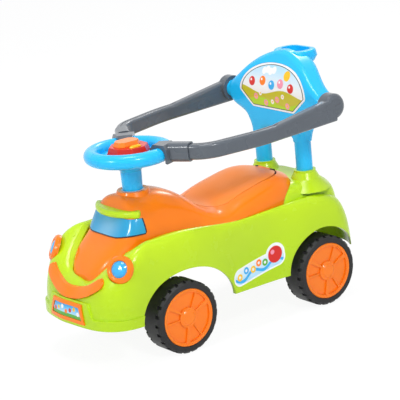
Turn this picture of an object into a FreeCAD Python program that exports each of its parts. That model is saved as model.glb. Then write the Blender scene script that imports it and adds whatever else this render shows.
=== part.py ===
"""Ride-on push car for a toddler: moulded body, steering, guard arms and a backrest with a push grip.

Frame: +X to the car's front, +Y to its left, +Z up; the origin is on the floor below the middle.
All sizes are in millimetres.
"""
import FreeCAD, Part
import math
import os
import re
from types import SimpleNamespace

import Sketcher
from FreeCAD import Placement, Rotation, Vector

X_AXIS, Y_AXIS, Z_AXIS = Vector(1, 0, 0), Vector(0, 1, 0), Vector(0, 0, 1)
SIDES = (("left", 1), ("right", -1))

# Driving dimensions: alias, value, meaning.
DIMENSIONS = (
    ("body_front_x", 318.5, "front of the moulded body"),
    ("body_rear_x", -325.0, "rear of the moulded body"),
    ("body_half_width", 134.0, "half width over the mudguards"),
    ("waist_half_width", 129.0, "half width at the side skirts"),
    ("waist_pinch", 10.0, "hollow of the sides between the mudguards"),
    ("skirt_z", 84.0, "height of the body's lower edge"),
    ("tail_edge_z", 101.0, "height of the lower edge behind the rear wheels"),
    ("nose_z", 162.0, "height of the body's edge under the bonnet tip"),
    ("fender_z", 237.0, "top of the front mudguards"),
    ("waist_z", 223.0, "top of the body beside the seat"),
    ("rear_fender_z", 225.0, "top of the rear mudguards"),
    ("tail_z", 202.0, "top of the body at the tail"),
    ("shell_wall", 3.5, "wall of the body"),
    ("deck_z", 159.0, "tray that the cover stands on"),
    ("seam_gap", 0.4, "gap round the cover"),
    ("bumper_proud", 4.0, "bumper proud of the body"),
    ("bumper_ledge_z", 104.0, "top of the bumper at the sides"),
    ("plate_ledge_z", 132.5, "top of the bumper over the plate"),
    ("wheel_radius", 72.0, "radius over the tread"),
    ("tyre_width", 55.0, "width of a tyre"),
    ("tyre_outer_y", 139.0, "outer side of a tyre"),
    ("tyre_wall", 10.0, "wall of the tyre ring"),
    ("tyre_shoulder", 5.0, "bevel at the tread's edges"),
    ("lug_count", 24.0, "notches round each shoulder"),
    ("lug_width", 6.5, "width of a notch"),
    ("lug_depth", 3.0, "depth of a notch"),
    ("hub_radius", 13.0, "hub tube of a wheel"),
    ("hub_length", 58.0, "reach of the hub tube from the tyre's outer side"),
    ("web_front", 26.0, "depth of the wheel web's front"),
    ("web_back", 32.0, "depth of the wheel web's back"),
    ("disc_radius", 57.5, "radius of a wheel disc"),
    ("disc_seat", 8.0, "depth of the seat for the disc"),
    ("disc_rim", 5.5, "width of the disc's raised rim"),
    ("panel_depth", 3.2, "depth of the panels in a disc"),
    ("wide_panel", 72.0, "angle of a wide panel"),
    ("narrow_panel", 32.0, "angle of a narrow panel"),
    ("axle_radius", 5.0, "axle rods"),
    ("rear_bush_radius", 9.0, "bushes of the rear axle"),
    ("running_gap", 0.06, "radial clearance of what turns on a rod"),
    ("side_gap", 0.3, "axial clearance of what turns"),
    ("front_axle_x", 134.0, "front axle"),
    ("rear_axle_x", -220.0, "rear axle"),
    ("arch_gap", 19.0, "room round a rear wheel"),
    ("arch_lip", 13.0, "depth of the lip round a wheel arch"),
    ("front_arch_reach", 103.0, "front wheel arch ahead of the axle"),
    ("front_arch_tail", 124.0, "front wheel arch behind the axle"),
    ("front_arch_rise", 82.0, "rise of the front wheel arch"),
    ("carrier_radius", 13.0, "front axle carrier"),
    ("post_radius", 15.0, "post of the carrier"),
    ("carrier_top_z", 104.7, "top of the carrier's post"),
    ("steer_x", 140.0, "steering axis"),
    ("rod_radius", 6.0, "steering rod"),
    ("rod_top_z", 362.0, "top of the steering rod"),
    ("boss_radius", 20.0, "lower steering boss"),
    ("boss_bottom_z", 108.0, "lower end of the steering boss"),
    ("lower_bush_radius", 14.0, "lower steering bush"),
    ("bush_flange", 3.0, "flange of the bushes"),
    ("collar_radius", 31.0, "collar round the steering column"),
    ("collar_z", 309.0, "top of the collar"),
    ("upper_bush_radius", 17.0, "upper steering bush"),
    ("upper_bush_length", 24.0, "length of the upper bush"),
    ("column_radius", 21.0, "steering column"),
    ("neck_z", 347.0, "neck of the steering column"),
    ("rim_z", 382.0, "middle of the steering wheel's rim"),
    ("rim_radius", 74.0, "steering wheel, to the middle of the rim"),
    ("rim_tube", 14.5, "radius of the rim's section"),
    ("plateau_radius", 45.0, "raised middle of the steering wheel"),
    ("plateau_z", 384.0, "top of the raised middle"),
    ("web_thickness", 7.0, "steering wheel's web"),
    ("spoke_gap_angle", 86.0, "angle of each opening in the web"),
    ("clip_angle", 119.0, "arm clips on the rim, from straight ahead"),
    ("horn_radius", 43.0, "horn housing, corner radius at its foot"),
    ("horn_top_radius", 38.0, "horn housing, corner radius at its top"),
    ("horn_rise", 13.0, "height of the horn housing"),
    ("horn_button_x", 26.0, "half length of the horn button"),
    ("horn_button_y", 18.0, "half width of the horn button"),
    ("horn_button_shift", 5.0, "horn button off the middle"),
    ("horn_button_rise", 9.0, "horn button proud of its housing"),
    ("horn_travel", 3.0, "travel of the horn button"),
    ("tune_button_x", 13.0, "half length of the tune button"),
    ("tune_button_y", 4.5, "half width of the tune button"),
    ("tune_button_shift", 24.5, "tune button off the middle"),
    ("tune_button_rise", 3.5, "tune button proud of its housing"),
    ("tune_travel", 2.0, "travel of the tune button"),
    ("button_gap", 0.4, "clearance round the buttons"),
    ("cover_front_x", 277.0, "tip of the bonnet"),
    ("cover_rear_x", -223.0, "rear end of the cover"),
    ("cover_wall", 3.0, "wall of the cover"),
    ("hump_z", 304.0, "top of the dashboard hump"),
    ("seat_low_z", 244.0, "lowest point of the seat"),
    ("seat_high_z", 279.0, "highest point of the seat"),
    ("lid_front_x", 2.0, "front edge of the seat lid"),
    ("lid_rear_x", -188.0, "rear edge of the seat lid, on its hinge"),
    ("lid_half_width", 68.0, "half width of the seat lid"),
    ("lid_corner", 55.0, "corner radius of the seat lid"),
    ("lid_thickness", 4.0, "wall of the seat lid"),
    ("lid_proud", 0.3, "seat lid proud of the cover"),
    ("lid_gap", 0.8, "gap round the seat lid"),
    ("bin_ledge", 6.0, "ledge under the lid's edge"),
    ("bin_wall", 3.0, "floor of the storage bin"),
    ("knuckle_radius", 4.5, "hinge knuckles of the lid"),
    ("pin_radius", 2.0, "hinge pin of the lid"),
    ("knuckle_half", 20.0, "half length of the lid's knuckle"),
    ("recess_radius", 24.0, "ball radius of the finger recess"),
    ("recess_depth", 9.0, "depth of the finger recess"),
    ("visor_x", 108.0, "centre of the visor's arc"),
    ("visor_radius", 103.0, "front edge of the visor"),
    ("visor_depth", 44.0, "depth of the visor"),
    ("visor_thickness", 14.0, "thickness of the visor"),
    ("visor_z", 270.0, "underside of the visor"),
    ("visor_angle", 92.0, "angle of the visor's arc"),
    ("screen_half", 79.0, "half width of the windscreen"),
    ("screen_rear_x", 170.0, "rear ends of the windscreen"),
    ("screen_low_z", 238.0, "foot of the windscreen"),
    ("screen_thickness", 0.8, "windscreen proud of the cover"),
    ("lamp_radius", 27.0, "headlight ring"),
    ("lens_radius", 16.5, "headlight lens"),
    ("lamp_y", 113.0, "headlight off the middle"),
    ("lamp_z", 199.0, "height of the headlights"),
    ("lamp_yaw", 29.0, "headlight turned outwards"),
    ("lamp_pitch", 24.0, "headlight tilted up"),
    ("lamp_sink", 5.0, "depth of the headlight's seat"),
    ("trim_gap", 0.3, "gap under the trims and panels"),
    ("trim_half", 92.0, "half length of the grille trim"),
    ("trim_low_z", 134.0, "lowest point of the grille trim"),
    ("trim_rise", 27.0, "rise of the trim to its tips"),
    ("trim_width", 20.0, "width of the trim"),
    ("plate_low_half", 58.0, "number plate, half width at its foot"),
    ("plate_top_half", 47.0, "number plate, half width at its top"),
    ("plate_low_z", 91.0, "foot of the number plate"),
    ("plate_top_z", 129.0, "top of the number plate"),
    ("plate_border", 7.0, "border of the number plate"),
    ("plate_proud", 3.0, "plate frame proud of the bumper"),
    ("back_front_x", -222.0, "front of the backrest"),
    ("back_thickness", 42.0, "thickness of the backrest"),
    ("back_round", 12.0, "soft edge of the backrest"),
    ("back_top_z", 508.0, "top of the backrest"),
    ("ear_half", 150.0, "backrest, half width at the ears"),
    ("ear_z", 415.0, "height of the arm hinges"),
    ("ear_x", -240.0, "arm hinges"),
    ("leg_x", -240.0, "backrest legs"),
    ("leg_y", 65.0, "backrest legs off the middle"),
    ("leg_radius", 17.0, "backrest legs"),
    ("leg_foot_z", 216.0, "foot of the backrest legs"),
    ("leg_arch_z", 346.0, "arch between the legs"),
    ("socket_radius", 22.5, "sockets for the legs"),
    ("socket_top_z", 271.0, "top of the sockets"),
    ("socket_gap", 0.1, "clearance of the legs in the sockets"),
    ("grip_rear_x", -325.0, "rear of the push grip"),
    ("grip_half", 47.0, "half width of the push grip"),
    ("grip_low_z", 479.0, "underside of the push grip"),
    ("grip_bar", 11.0, "thickness of the grip's bar"),
    ("grip_hole_half", 33.0, "half width of the grip's opening"),
    ("grip_hole_front_x", -274.0, "front of the grip's opening"),
    ("label_corner", 9.0, "corner radius of the backrest's label"),
    ("label_recess", 1.2, "recess for the backrest's label"),
    ("stub_radius", 18.0, "stubs that the arms turn on"),
    ("stub_end_y", 172.0, "outer end of the stubs"),
    ("arm_y", 168.0, "guard arms off the middle"),
    ("arm_hub_radius", 26.0, "hub of a guard arm"),
    ("arm_hub_inner_y", 151.0, "inner end of an arm's hub"),
    ("arm_hub_outer_y", 178.0, "outer end of an arm's hub"),
    ("arm_height", 30.0, "section of a guard arm, upright"),
    ("arm_width", 22.0, "section of a guard arm, across"),
    ("arm_round", 6.0, "corners of the arm's section"),
    ("arm_root_height", 46.0, "section of an arm at its hub, upright"),
    ("arm_root_drop", 5.0, "arm below its hinge at the hub"),
    ("arm_seam", 1.2, "groove along the arm's top"),
    ("arm_drop", 14.7, "arm below its hinge"),
    ("arm_tilt", 2.5, "fall of the arm to the front"),
    ("arm_straight", 155.0, "first run of the arm"),
    ("arm_sweep", 300.0, "radius of the arm's slow curve"),
    ("arm_first_turn", 11.4, "angle of the slow curve"),
    ("arm_middle_run", 59.0, "middle run of the arm"),
    ("arm_bend", 60.0, "radius of the arm's tight bend"),
    ("arm_second_turn", 49.6, "angle of the tight bend"),
    ("arm_last_run", 42.0, "last run of the arm"),
    ("clip_gap", 1.4, "room between clip and rim"),
    ("clip_wall", 4.5, "wall of the clip"),
    ("clip_span", 28.0, "angle of the clip along the rim"),
    ("clip_skirt", 16.0, "clip's outer wall below the rim's middle"),
    ("sleeve_wall", 3.2, "wall of the clip's sleeve"),
    ("sleeve_gap", 0.3, "room round the arm in the sleeve"),
    ("sleeve_length", 36.0, "length of the sleeve"),
    ("screw_radius", 2.0, "screws"),
    ("screw_head", 4.0, "screw heads"),
)

doc = FreeCAD.newDocument("push_car")
sheet = doc.addObject("Spreadsheet::Sheet", "dims")
for row, (alias, value, meaning) in enumerate(DIMENSIONS, start=1):
    sheet.set(f"A{row}", meaning)
    sheet.set(f"B{row}", str(value))
    sheet.setAlias(f"B{row}", alias)
doc.recompute()
d = SimpleNamespace(**{alias: float(sheet.get(alias)) for alias, _, _ in DIMENSIONS})
nodes = []


def tied(text):
    """Expression text with every alias pointed at the sheet."""
    return re.sub(r"[a-z][a-z_]+", lambda m: f"dims.{m[0]}" if hasattr(d, m[0]) else m[0], str(text))


def number(text):
    return float(sheet.evalExpression(tied(text)))


def bind(obj, bindings):
    for name, text in bindings.items():
        obj.setExpression(name, tied(text))
    return obj


def node(obj, label):
    """Register a finished piece under the name of its file."""
    obj.Label = label
    nodes.append(obj)
    return obj


def feature(label, shape):
    """A piece whose form is worked out with shapes."""
    obj = doc.addObject("Part::Feature", label)
    obj.Shape = shape
    return node(obj, label)


def place(obj, x="0", y="0", z="0", rotation=None):
    if rotation:
        obj.Placement = Placement(Vector(), rotation)
    return bind(obj, {"Placement.Base.x": x, "Placement.Base.y": y, "Placement.Base.z": z})


def cylinder(name, radius, length, x="0", y="0", z="0", axis=Z_AXIS):
    obj = doc.addObject("Part::Cylinder", name)
    bind(obj, {"Radius": radius, "Height": length})
    return place(obj, x, y, z, Rotation(Z_AXIS, axis))


def cut(name, base, tool):
    obj = doc.addObject("Part::Cut", name)
    obj.Base, obj.Tool = base, tool
    return obj


def fuse(name, *pieces):
    obj = doc.addObject("Part::MultiFuse", name)
    obj.Shapes = list(pieces)
    return obj


def new_body(label):
    return node(doc.addObject("PartDesign::Body", label), label)


def origin_part(body, role):
    return next(item for item in body.Origin.OriginFeatures if item.Role == role)


def new_sketch(body, name, role, offset=None):
    sketch = body.newObject("Sketcher::SketchObject", name)
    sketch.AttachmentSupport = [(origin_part(body, role), "")]
    sketch.MapMode = "FlatFace"
    if offset:
        sketch.AttachmentOffset = offset
    return sketch


def pin_point(sketch, geometry, end, across, along):
    """Tie one point of a sketch to two expressions."""
    for kind, text in (("DistanceX", across), ("DistanceY", along)):
        index = sketch.addConstraint(Sketcher.Constraint(kind, -1, 1, geometry, end, number(text)))
        sketch.setExpression(f"Constraints[{index}]", tied(text))


def polygon(sketch, corners):
    points = [Vector(number(across), number(along), 0) for across, along in corners]
    count = len(points)
    lines = [sketch.addGeometry(Part.LineSegment(points[i], points[(i + 1) % count])) for i in range(count)]
    for i, line in enumerate(lines):
        sketch.addConstraint(Sketcher.Constraint("Coincident", line, 2, lines[(i + 1) % count], 1))
        pin_point(sketch, line, 1, *corners[i])


def circle(sketch, across, along, radius):
    centre = Vector(number(across), number(along), 0)
    geometry = sketch.addGeometry(Part.Circle(centre, Z_AXIS, number(radius)))
    pin_point(sketch, geometry, 3, across, along)
    index = sketch.addConstraint(Sketcher.Constraint("Radius", geometry, number(radius)))
    sketch.setExpression(f"Constraints[{index}]", tied(radius))


def rounded_rectangle(sketch, half_width, half_height, radius):
    """Rectangle about the sketch's origin with round corners."""
    w, h, r = half_width, half_height, radius
    ends = [(f"({w}) - ({r})", f"-({h})"), (f"{w}", f"({r}) - ({h})"), (f"{w}", f"({h}) - ({r})"),
            (f"({w}) - ({r})", f"{h}"), (f"({r}) - ({w})", f"{h}"), (f"-({w})", f"({h}) - ({r})"),
            (f"-({w})", f"({r}) - ({h})"), (f"({r}) - ({w})", f"-({h})")]
    points = [Vector(number(across), number(along), 0) for across, along in ends]
    turn = number(r)
    for corner in range(4):
        start, stop = points[2 * corner], points[2 * corner + 1]
        side = sketch.addGeometry(Part.LineSegment(points[2 * corner - 1], start))
        pin_point(sketch, side, 1, *ends[2 * corner - 1])
        pin_point(sketch, side, 2, *ends[2 * corner])
        first = -90 + 90 * corner
        centre = start - Vector(math.cos(math.radians(first)), math.sin(math.radians(first)), 0) * turn
        round_corner = Part.Circle(centre, Z_AXIS, turn)
        arc = Part.ArcOfCircle(round_corner, math.radians(first), math.radians(first + 90))
        geometry = sketch.addGeometry(arc)
        pin_point(sketch, geometry, 1, *ends[2 * corner])
        pin_point(sketch, geometry, 2, *ends[2 * corner + 1])
        index = sketch.addConstraint(Sketcher.Constraint("Radius", geometry, turn))
        sketch.setExpression(f"Constraints[{index}]", tied(r))


def turned(body, name, corners, plane):
    """Revolve a closed profile of (radius, height) corners about the plane's upright axis."""
    sketch = new_sketch(body, f"{name}_profile", plane)
    polygon(sketch, corners)
    return revolve(body, name, sketch, "PartDesign::Revolution", "360")


def revolve(body, name, sketch, kind, angle):
    turn = body.newObject(kind, name)
    turn.Profile = sketch
    turn.ReferenceAxis = (sketch, ["V_Axis"])
    turn.Midplane = True
    bind(turn, {"Angle": angle})
    return turn


def polar(body, name, originals, axis_role, count):
    pattern = body.newObject("PartDesign::PolarPattern", name)
    pattern.Originals = originals
    pattern.Axis = (origin_part(body, axis_role), [""])
    pattern.Angle = 360
    bind(pattern, {"Occurrences": count})
    body.Tip = pattern
    return pattern


def solid_of(shape):
    """The piece itself, without slivers left beside it."""
    return max(shape.Solids, key=lambda solid: abs(solid.Volume))


def box(low, high):
    corner, far = Vector(*low), Vector(*high)
    size = far - corner
    return Part.makeBox(size.x, size.y, size.z, corner)


def prism(points, direction):
    """Straight-sided prism over a polygon."""
    return Part.Face(Part.makePolygon(points + points[:1])).extrude(direction)


def round_plate(x_low, x_high, half, corner, z):
    """Wire of a rectangle with round corners, level at height z."""
    flat = Part.makePlane(x_high - x_low, 2 * half, Vector(x_low, -half, z))
    upright = flat.extrude(Z_AXIS)
    edges = [edge for edge in upright.Edges if abs(edge.tangentAt(edge.FirstParameter).z) > 0.9]
    rounded = upright.makeFillet(corner, edges)
    return min(rounded.Faces, key=lambda face: face.CenterOfMass.z).OuterWire


def column_of(x_low, x_high, half, corner, z_low, z_high):
    """Upright prism with round corners."""
    return Part.Face(round_plate(x_low, x_high, half, corner, z_low)).extrude(Vector(0, 0, z_high - z_low))


# Body: a skirt outline and a crown line, joined all round by a superellipse.
def band_stations():
    """Skirt point, crown point, fullness and pinch from the nose round the left side to the tail."""
    front, rear, wide, waist = d.body_front_x, d.body_rear_x, d.body_half_width, d.waist_half_width
    fore, aft = d.front_axle_x, d.rear_axle_x
    crown = wide - 30
    middle = (fore + aft) / 2
    return (
        ((front, 0), (front - 44, 0, d.nose_z), 2.2, 0),
        ((front - 5, 60), (front - 47, 46, d.nose_z + 11), 2.2, 0),
        ((front - 19, wide - 30), (front - 68, wide - 61, d.nose_z + 39), 2.4, 0),
        ((front - 47, wide - 4), (front - 107, crown - 9, d.fender_z - 11), 2.8, 0),
        ((fore + 66, wide), (fore + 46, crown - 1, d.fender_z - 2), 3.2, 0),
        ((fore, wide), (fore - 4, crown + 1, d.fender_z), 3.2, 0),
        ((fore - 84, wide - 3), (fore - 79, crown + 3, d.fender_z - 6), 2.8, d.waist_pinch * 0.2),
        ((middle + 13, waist), (middle + 23, waist - 19, d.waist_z), 2.3, d.waist_pinch),
        ((middle - 67, waist), (middle - 57, waist - 21, d.waist_z + 1), 2.4, d.waist_pinch * 0.9),
        ((aft + 45, wide - 1), (aft + 40, crown + 2, d.rear_fender_z + 1), 2.8, 0),
        ((aft - 15, wide), (aft - 12, crown, d.rear_fender_z), 3.0, 0),
        ((rear + 35, wide - 4), (rear + 53, crown - 12, d.rear_fender_z - 12), 2.6, 0),
        ((rear + 7, wide - 39), (rear + 35, crown - 42, d.tail_z + 1), 2.4, 0),
        ((rear, 0), (rear + 28, 0, d.tail_z), 2.2, 0),
    )


BAND_LEVELS = (0, 4, 12, 24, 40, 60, 90)
CROWN_ROLL, CROWN_DROP = 12.0, 3.0
TRAY_INSET, TRAY_RISE = 34.0, 4.0


LOOP_BREAKS = (0, 4, 9, 13)


def loop_spacing():
    """Shared parameters of the loops: distances along the skirt, from the nose round and back."""
    half = [Vector(*skirt, 0) for skirt, _, _, _ in band_stations()]
    steps = [(b - a).Length for a, b in zip(half, half[1:])]
    places = [0.0]
    for step in steps + steps[::-1]:
        places.append(places[-1] + step)
    return places


def loop(points):
    """Closed smooth wire through the left half's points and their mirror images, in six runs."""
    mirror = [Vector(p.x, -p.y, p.z) for p in points[-2:0:-1]]
    places = loop_spacing()
    curve = Part.BSplineCurve()
    curve.interpolate(Points=points + mirror, PeriodicFlag=True, Parameters=places)
    breaks = [places[index] for index in LOOP_BREAKS]
    breaks += [places[-1 - index] for index in LOOP_BREAKS[-2::-1]]
    return Part.Wire([curve.toShape(start, stop) for start, stop in zip(breaks, breaks[1:])])


def band_solid(inset, foot_z):
    """Filled body form, its surface moved inwards by inset."""
    stations = []
    for skirt, crown, fullness, pinch in band_stations():
        skirt, crown = Vector(*skirt, 0), Vector(*crown)
        inward = Vector(crown.x - skirt.x, crown.y - skirt.y, 0).normalize()
        crown = crown + inward * inset - Z_AXIS * inset
        stations.append((skirt + inward * inset, crown, inward, fullness, pinch))
    loops = []
    for level in BAND_LEVELS:
        angle = math.radians(level)
        points = []
        for skirt, crown, inward, fullness, pinch in stations:
            inner = 1 - max(math.cos(angle), 0.0) ** (2 / fullness)
            rise = math.sin(angle) ** (2 / fullness)
            flat = skirt + (Vector(crown.x, crown.y, 0) - skirt) * inner
            flat += inward * (pinch * math.sin(math.pi * rise))
            points.append(Vector(flat.x, flat.y, foot_z + (crown.z - foot_z) * rise))
        loops.append(loop(points))
    crown_loop = len(loops) - 1
    roll_line = [crown + inward * CROWN_ROLL - Z_AXIS * CROWN_DROP for _, crown, inward, _, _ in stations]
    loops.append(loop(roll_line))
    tray = [crown + inward * TRAY_INSET for _, crown, inward, _, _ in stations]
    tray_loop = loop([Vector(p.x, p.y, d.deck_z + TRAY_RISE - inset) for p in tray])
    skin = Part.makeLoft(loops[:crown_loop + 1], False, False)
    inner_loops = loops[crown_loop:] + [tray_loop]
    roll = []
    for upper, lower in zip(inner_loops, inner_loops[1:]):
        roll += [Part.makeRuledSurface(*runs).Faces[0] for runs in zip(upper.Edges, lower.Edges)]
    shell = Part.makeShell(skin.Faces + roll + [Part.Face(loops[0]), Part.Face(tray_loop)])
    shell.sewShape()
    solid = Part.makeSolid(shell)
    if solid.Volume < 0:
        solid.reverse()
    return solid


# Cover: arch sections from the bonnet's tip to the rear of the seat.
def cover_stations():
    """Station along X, half width, crown height and fullness."""
    front, rear, steer = d.cover_front_x, d.cover_rear_x, d.steer_x
    low, high, hump = d.seat_low_z, d.seat_high_z, d.hump_z
    nose = d.nose_z
    return (
        (front, 20, nose + 8, 3.0),
        (front - 5, 38, nose + 18, 3.6),
        (front - 14, 50, nose + 31, 4.2),
        (front - 27, 61, nose + 46, 4.5),
        (front - 45, 70, nose + 62, 4.5),
        (steer + 67, 76, hump - 54, 4.0),
        (steer + 52, 79, hump - 22, 3.5),
        (steer + 41, 82, hump - 4, 3.0),
        (steer + 25, 87, hump, 2.8),
        (steer, 91, hump, 2.6),
        (steer - 35, 96, hump, 2.6),
        (steer - 65, 100, hump - 8, 2.8),
        (steer - 95, 103, hump - 28, 3.0),
        (steer - 120, 105, low + 10, 4.0),
        (steer - 148, 106, low, 5.0),
        (rear + 173, 105, low + 12, 5.0),
        (rear + 123, 103, high - 9, 5.0),
        (rear + 73, 97, high, 5.0),
        (rear + 38, 86, high - 4, 5.0),
        (rear + 16, 66, high - 12, 4.5),
        (rear + 5, 40, high - 23, 4.0),
        (rear, 16, high - 39, 3.0),
    )


ARCH_STEPS = 6


def arch(x, half, foot_z, crown_z, fullness):
    """Closed section: a superellipse arch on a straight foot."""
    points = []
    for step in range(2 * ARCH_STEPS + 1):
        angle = math.pi / 2 * step / ARCH_STEPS
        side = math.cos(angle)
        if 0 < step < 2 * ARCH_STEPS:
            across = math.copysign(abs(side) ** (2 / fullness), side)
            rise = max(math.sin(angle), 0.0) ** (2 / fullness)
        else:
            across, rise = round(side), 0.0
        points.append(Vector(x, half * across, foot_z + (crown_z - foot_z) * rise))
    curve = Part.BSplineCurve()
    curve.interpolate(points)
    return Part.Wire([curve.toShape(), Part.makeLine(points[-1], points[0])])


def cover_solid(grow, foot_z):
    """Filled cover form, its surface moved outwards by grow."""
    middle = (d.cover_front_x + d.cover_rear_x) / 2
    reach = d.cover_front_x - middle
    sections = []
    for x, half, crown_z, fullness in cover_stations():
        station = x + grow * (x - middle) / reach
        sections.append(arch(station, half + grow, foot_z, crown_z + grow, fullness))
    return Part.makeLoft(sections, True, False)


def top_of(shape, x, y):
    """Height of a filled form's surface above a plan point."""
    line = Part.makeLine(Vector(x, y, 0), Vector(x, y, 1000))
    return max(vertex.Z for vertex in line.common(shape).Vertexes)


def tail_solid(inset, foot_z):
    """Shoulder behind the seat that swells into the backrest's sockets."""
    rear, top = d.body_rear_x, d.socket_top_z - TAIL_DROP
    levels = ((18, 190, 99, 34, d.tail_z - 12), (21, 178, 98, 34, d.tail_z + 10), (31, 158, 94, 38, top - 17),
              (44, 128, 85, 40, top - 5), (54, 106, 74, 40, top))
    wires = []
    for ahead, length, half, corner, z in levels:
        x = rear + ahead
        wires.append(round_plate(x + inset, x + length - inset, half - inset, corner - inset, z - inset))
    first = wires[0].copy()
    first.translate(Vector(0, 0, foot_z - first.BoundBox.ZMin))
    form = Part.makeLoft(wires, True, False).fuse(Part.makeLoft([first, wires[0]], True, True))
    collar = d.socket_radius + SOCKET_FLARE
    for side in (1, -1):
        foot = Vector(d.leg_x, side * d.leg_y, top - FLARE_RISE - inset)
        form = form.fuse(Part.makeCone(collar + FLARE_RISE - inset, collar - inset, FLARE_RISE, foot))
    return form


def arch_cutters(grow=0.0, inner=None):
    """Wheel openings in the side walls, grown all round, from a plane inside the wall outwards."""
    inner = inner or d.body_half_width - ARCH_DEPTH
    reach = Vector(0, 60, 0)
    solids = []
    for side in (1, -1):
        rear_round = Part.makeCylinder(d.wheel_radius + d.arch_gap + grow, 60,
                                       Vector(d.rear_axle_x, side * inner, d.wheel_radius), Y_AXIS * side)
        solids.append(rear_round)
        half = (d.front_arch_reach + d.front_arch_tail) / 2
        middle_x = d.front_axle_x + (d.front_arch_reach - d.front_arch_tail) / 2
        centre = Vector(middle_x, side * inner, d.skirt_z)
        oval = Part.Ellipse(centre, half + grow, d.front_arch_rise + grow)
        oval.Axis = Vector(0, -1, 0)
        oval.XAxis = X_AXIS
        solids.append(Part.Face(Part.Wire(oval.toShape())).extrude(reach * side))
    return solids


ARCH_DEPTH = 24.0
TAIL_DROP, SOCKET_FLARE, FLARE_RISE = 17.0, 7.0, 22.0
SOCKET_FLOOR = 6.0
DRIVER_REACH = 90.0
band = band_solid(0, d.skirt_z)
bumper_form = band_solid(-d.bumper_proud, d.skirt_z)
cover_form = cover_solid(0, d.deck_z)
deck_under = d.deck_z - d.shell_wall


def lamp_frame(side):
    """Seat of a headlight: a point on the body and its outward direction."""
    yaw, pitch = math.radians(d.lamp_yaw), math.radians(d.lamp_pitch)
    out = Vector(math.cos(yaw) * math.cos(pitch), side * math.sin(yaw) * math.cos(pitch), math.sin(pitch))
    start = Vector(0, side * d.lamp_y, d.lamp_z)
    line = Part.makeLine(start, start + X_AXIS * 500)
    surface_x = max(vertex.X for vertex in line.common(band).Vertexes)
    return Vector(surface_x, side * d.lamp_y, d.lamp_z), out


def bumper_face(low_z, half_low, half_high, high_z):
    """Front view prism of a trapezoid, reaching back over the nose."""
    points = [Vector(200, -half_low, low_z), Vector(200, half_low, low_z),
              Vector(200, half_high, high_z), Vector(200, -half_high, high_z)]
    return prism(points, X_AXIS * 200)


def make_body_shell():
    low_band = box((200, -200, d.skirt_z), (400, 200, d.bumper_ledge_z))
    centre_band = bumper_face(d.skirt_z, d.plate_low_half + 28, d.plate_top_half + 14, d.plate_ledge_z)
    bumper = bumper_form.common(low_band).fuse(bumper_form.common(centre_band))
    tail = tail_solid(0, d.deck_z + 20)
    pocket = cover_solid(d.seam_gap, d.deck_z)
    tray = cover_solid(d.seam_gap + d.shell_wall, deck_under)
    hollow = band_solid(d.shell_wall, d.skirt_z - 6).cut(tray)
    tail_hollow = tail_solid(d.shell_wall, d.deck_z).cut(tray)
    shell = band.fuse(bumper).cut(pocket).cut(hollow).cut(tail_hollow)
    tail_shell = tail.cut(pocket).cut(tail_hollow).cut(hollow)
    additions = [tail_shell]
    for side in (1, -1):
        foot = Vector(d.leg_x, side * d.leg_y, d.leg_foot_z - SOCKET_FLOOR)
        additions.append(Part.makeCylinder(d.socket_radius, d.socket_top_z - foot.z, foot))
        additions.append(Part.makeCone(d.socket_radius + SOCKET_FLARE, d.socket_radius, TAIL_DROP - 4,
                                       Vector(foot.x, foot.y, d.socket_top_z - TAIL_DROP)))
        hanger = box((d.rear_axle_x - 18, side * d.leg_y - 4, d.wheel_radius - 17),
                     (d.rear_axle_x + 18, side * d.leg_y + 4, d.socket_top_z - 34))
        additions.append(hanger)
        seat, out = lamp_frame(side)
        additions.append(Part.makeCylinder(d.lamp_radius + 4, 17, seat - out * 17, out).common(band))
    boss = Part.makeCylinder(d.boss_radius, d.deck_z - d.boss_bottom_z, Vector(d.steer_x, 0, d.boss_bottom_z))
    lips = [lip.common(band) for lip in arch_cutters(d.shell_wall, d.body_half_width - d.arch_lip)]
    shell = shell.fuse(additions + lips + [boss])
    tools = arch_cutters() + [pocket]
    for side in (1, -1):
        foot = Vector(d.leg_x, side * d.leg_y, d.leg_foot_z)
        tools.append(Part.makeCylinder(d.leg_radius + d.socket_gap, 200, foot))
        tools.append(Part.makeCylinder(d.screw_radius, 20, foot - Z_AXIS * 10))
        driver = SOCKET_FLOOR + DRIVER_REACH
        tools.append(Part.makeCylinder(d.screw_head + 1, DRIVER_REACH, foot - Z_AXIS * driver))
        tools.append(Part.makeCylinder(d.rear_bush_radius, 30,
                                       Vector(d.rear_axle_x, side * d.leg_y - 15, d.wheel_radius), Y_AXIS))
        seat, out = lamp_frame(side)
        tools.append(Part.makeCylinder(d.lamp_radius + d.seam_gap, 40, seat - out * d.lamp_sink, out))
        for x, y in cover_screw_places():
            tools.append(Part.makeCylinder(d.screw_radius, 20, Vector(x, side * y, deck_under - 4)))
    tools.append(Part.makeCylinder(d.lower_bush_radius, 100, Vector(d.steer_x, 0, d.boss_bottom_z - 1)))
    tools.append(box((d.body_rear_x - 20, -200, 0), (d.rear_axle_x - 70, 200, d.tail_edge_z)))
    return solid_of(shell.cut(tools))


def cover_screw_places():
    return ((d.steer_x + 62, 40), (d.steer_x - 88, 66))


RIM_DEPTH = 7.0
LUG_WIDTH, LUG_GAP = 8.0, 0.5


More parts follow.
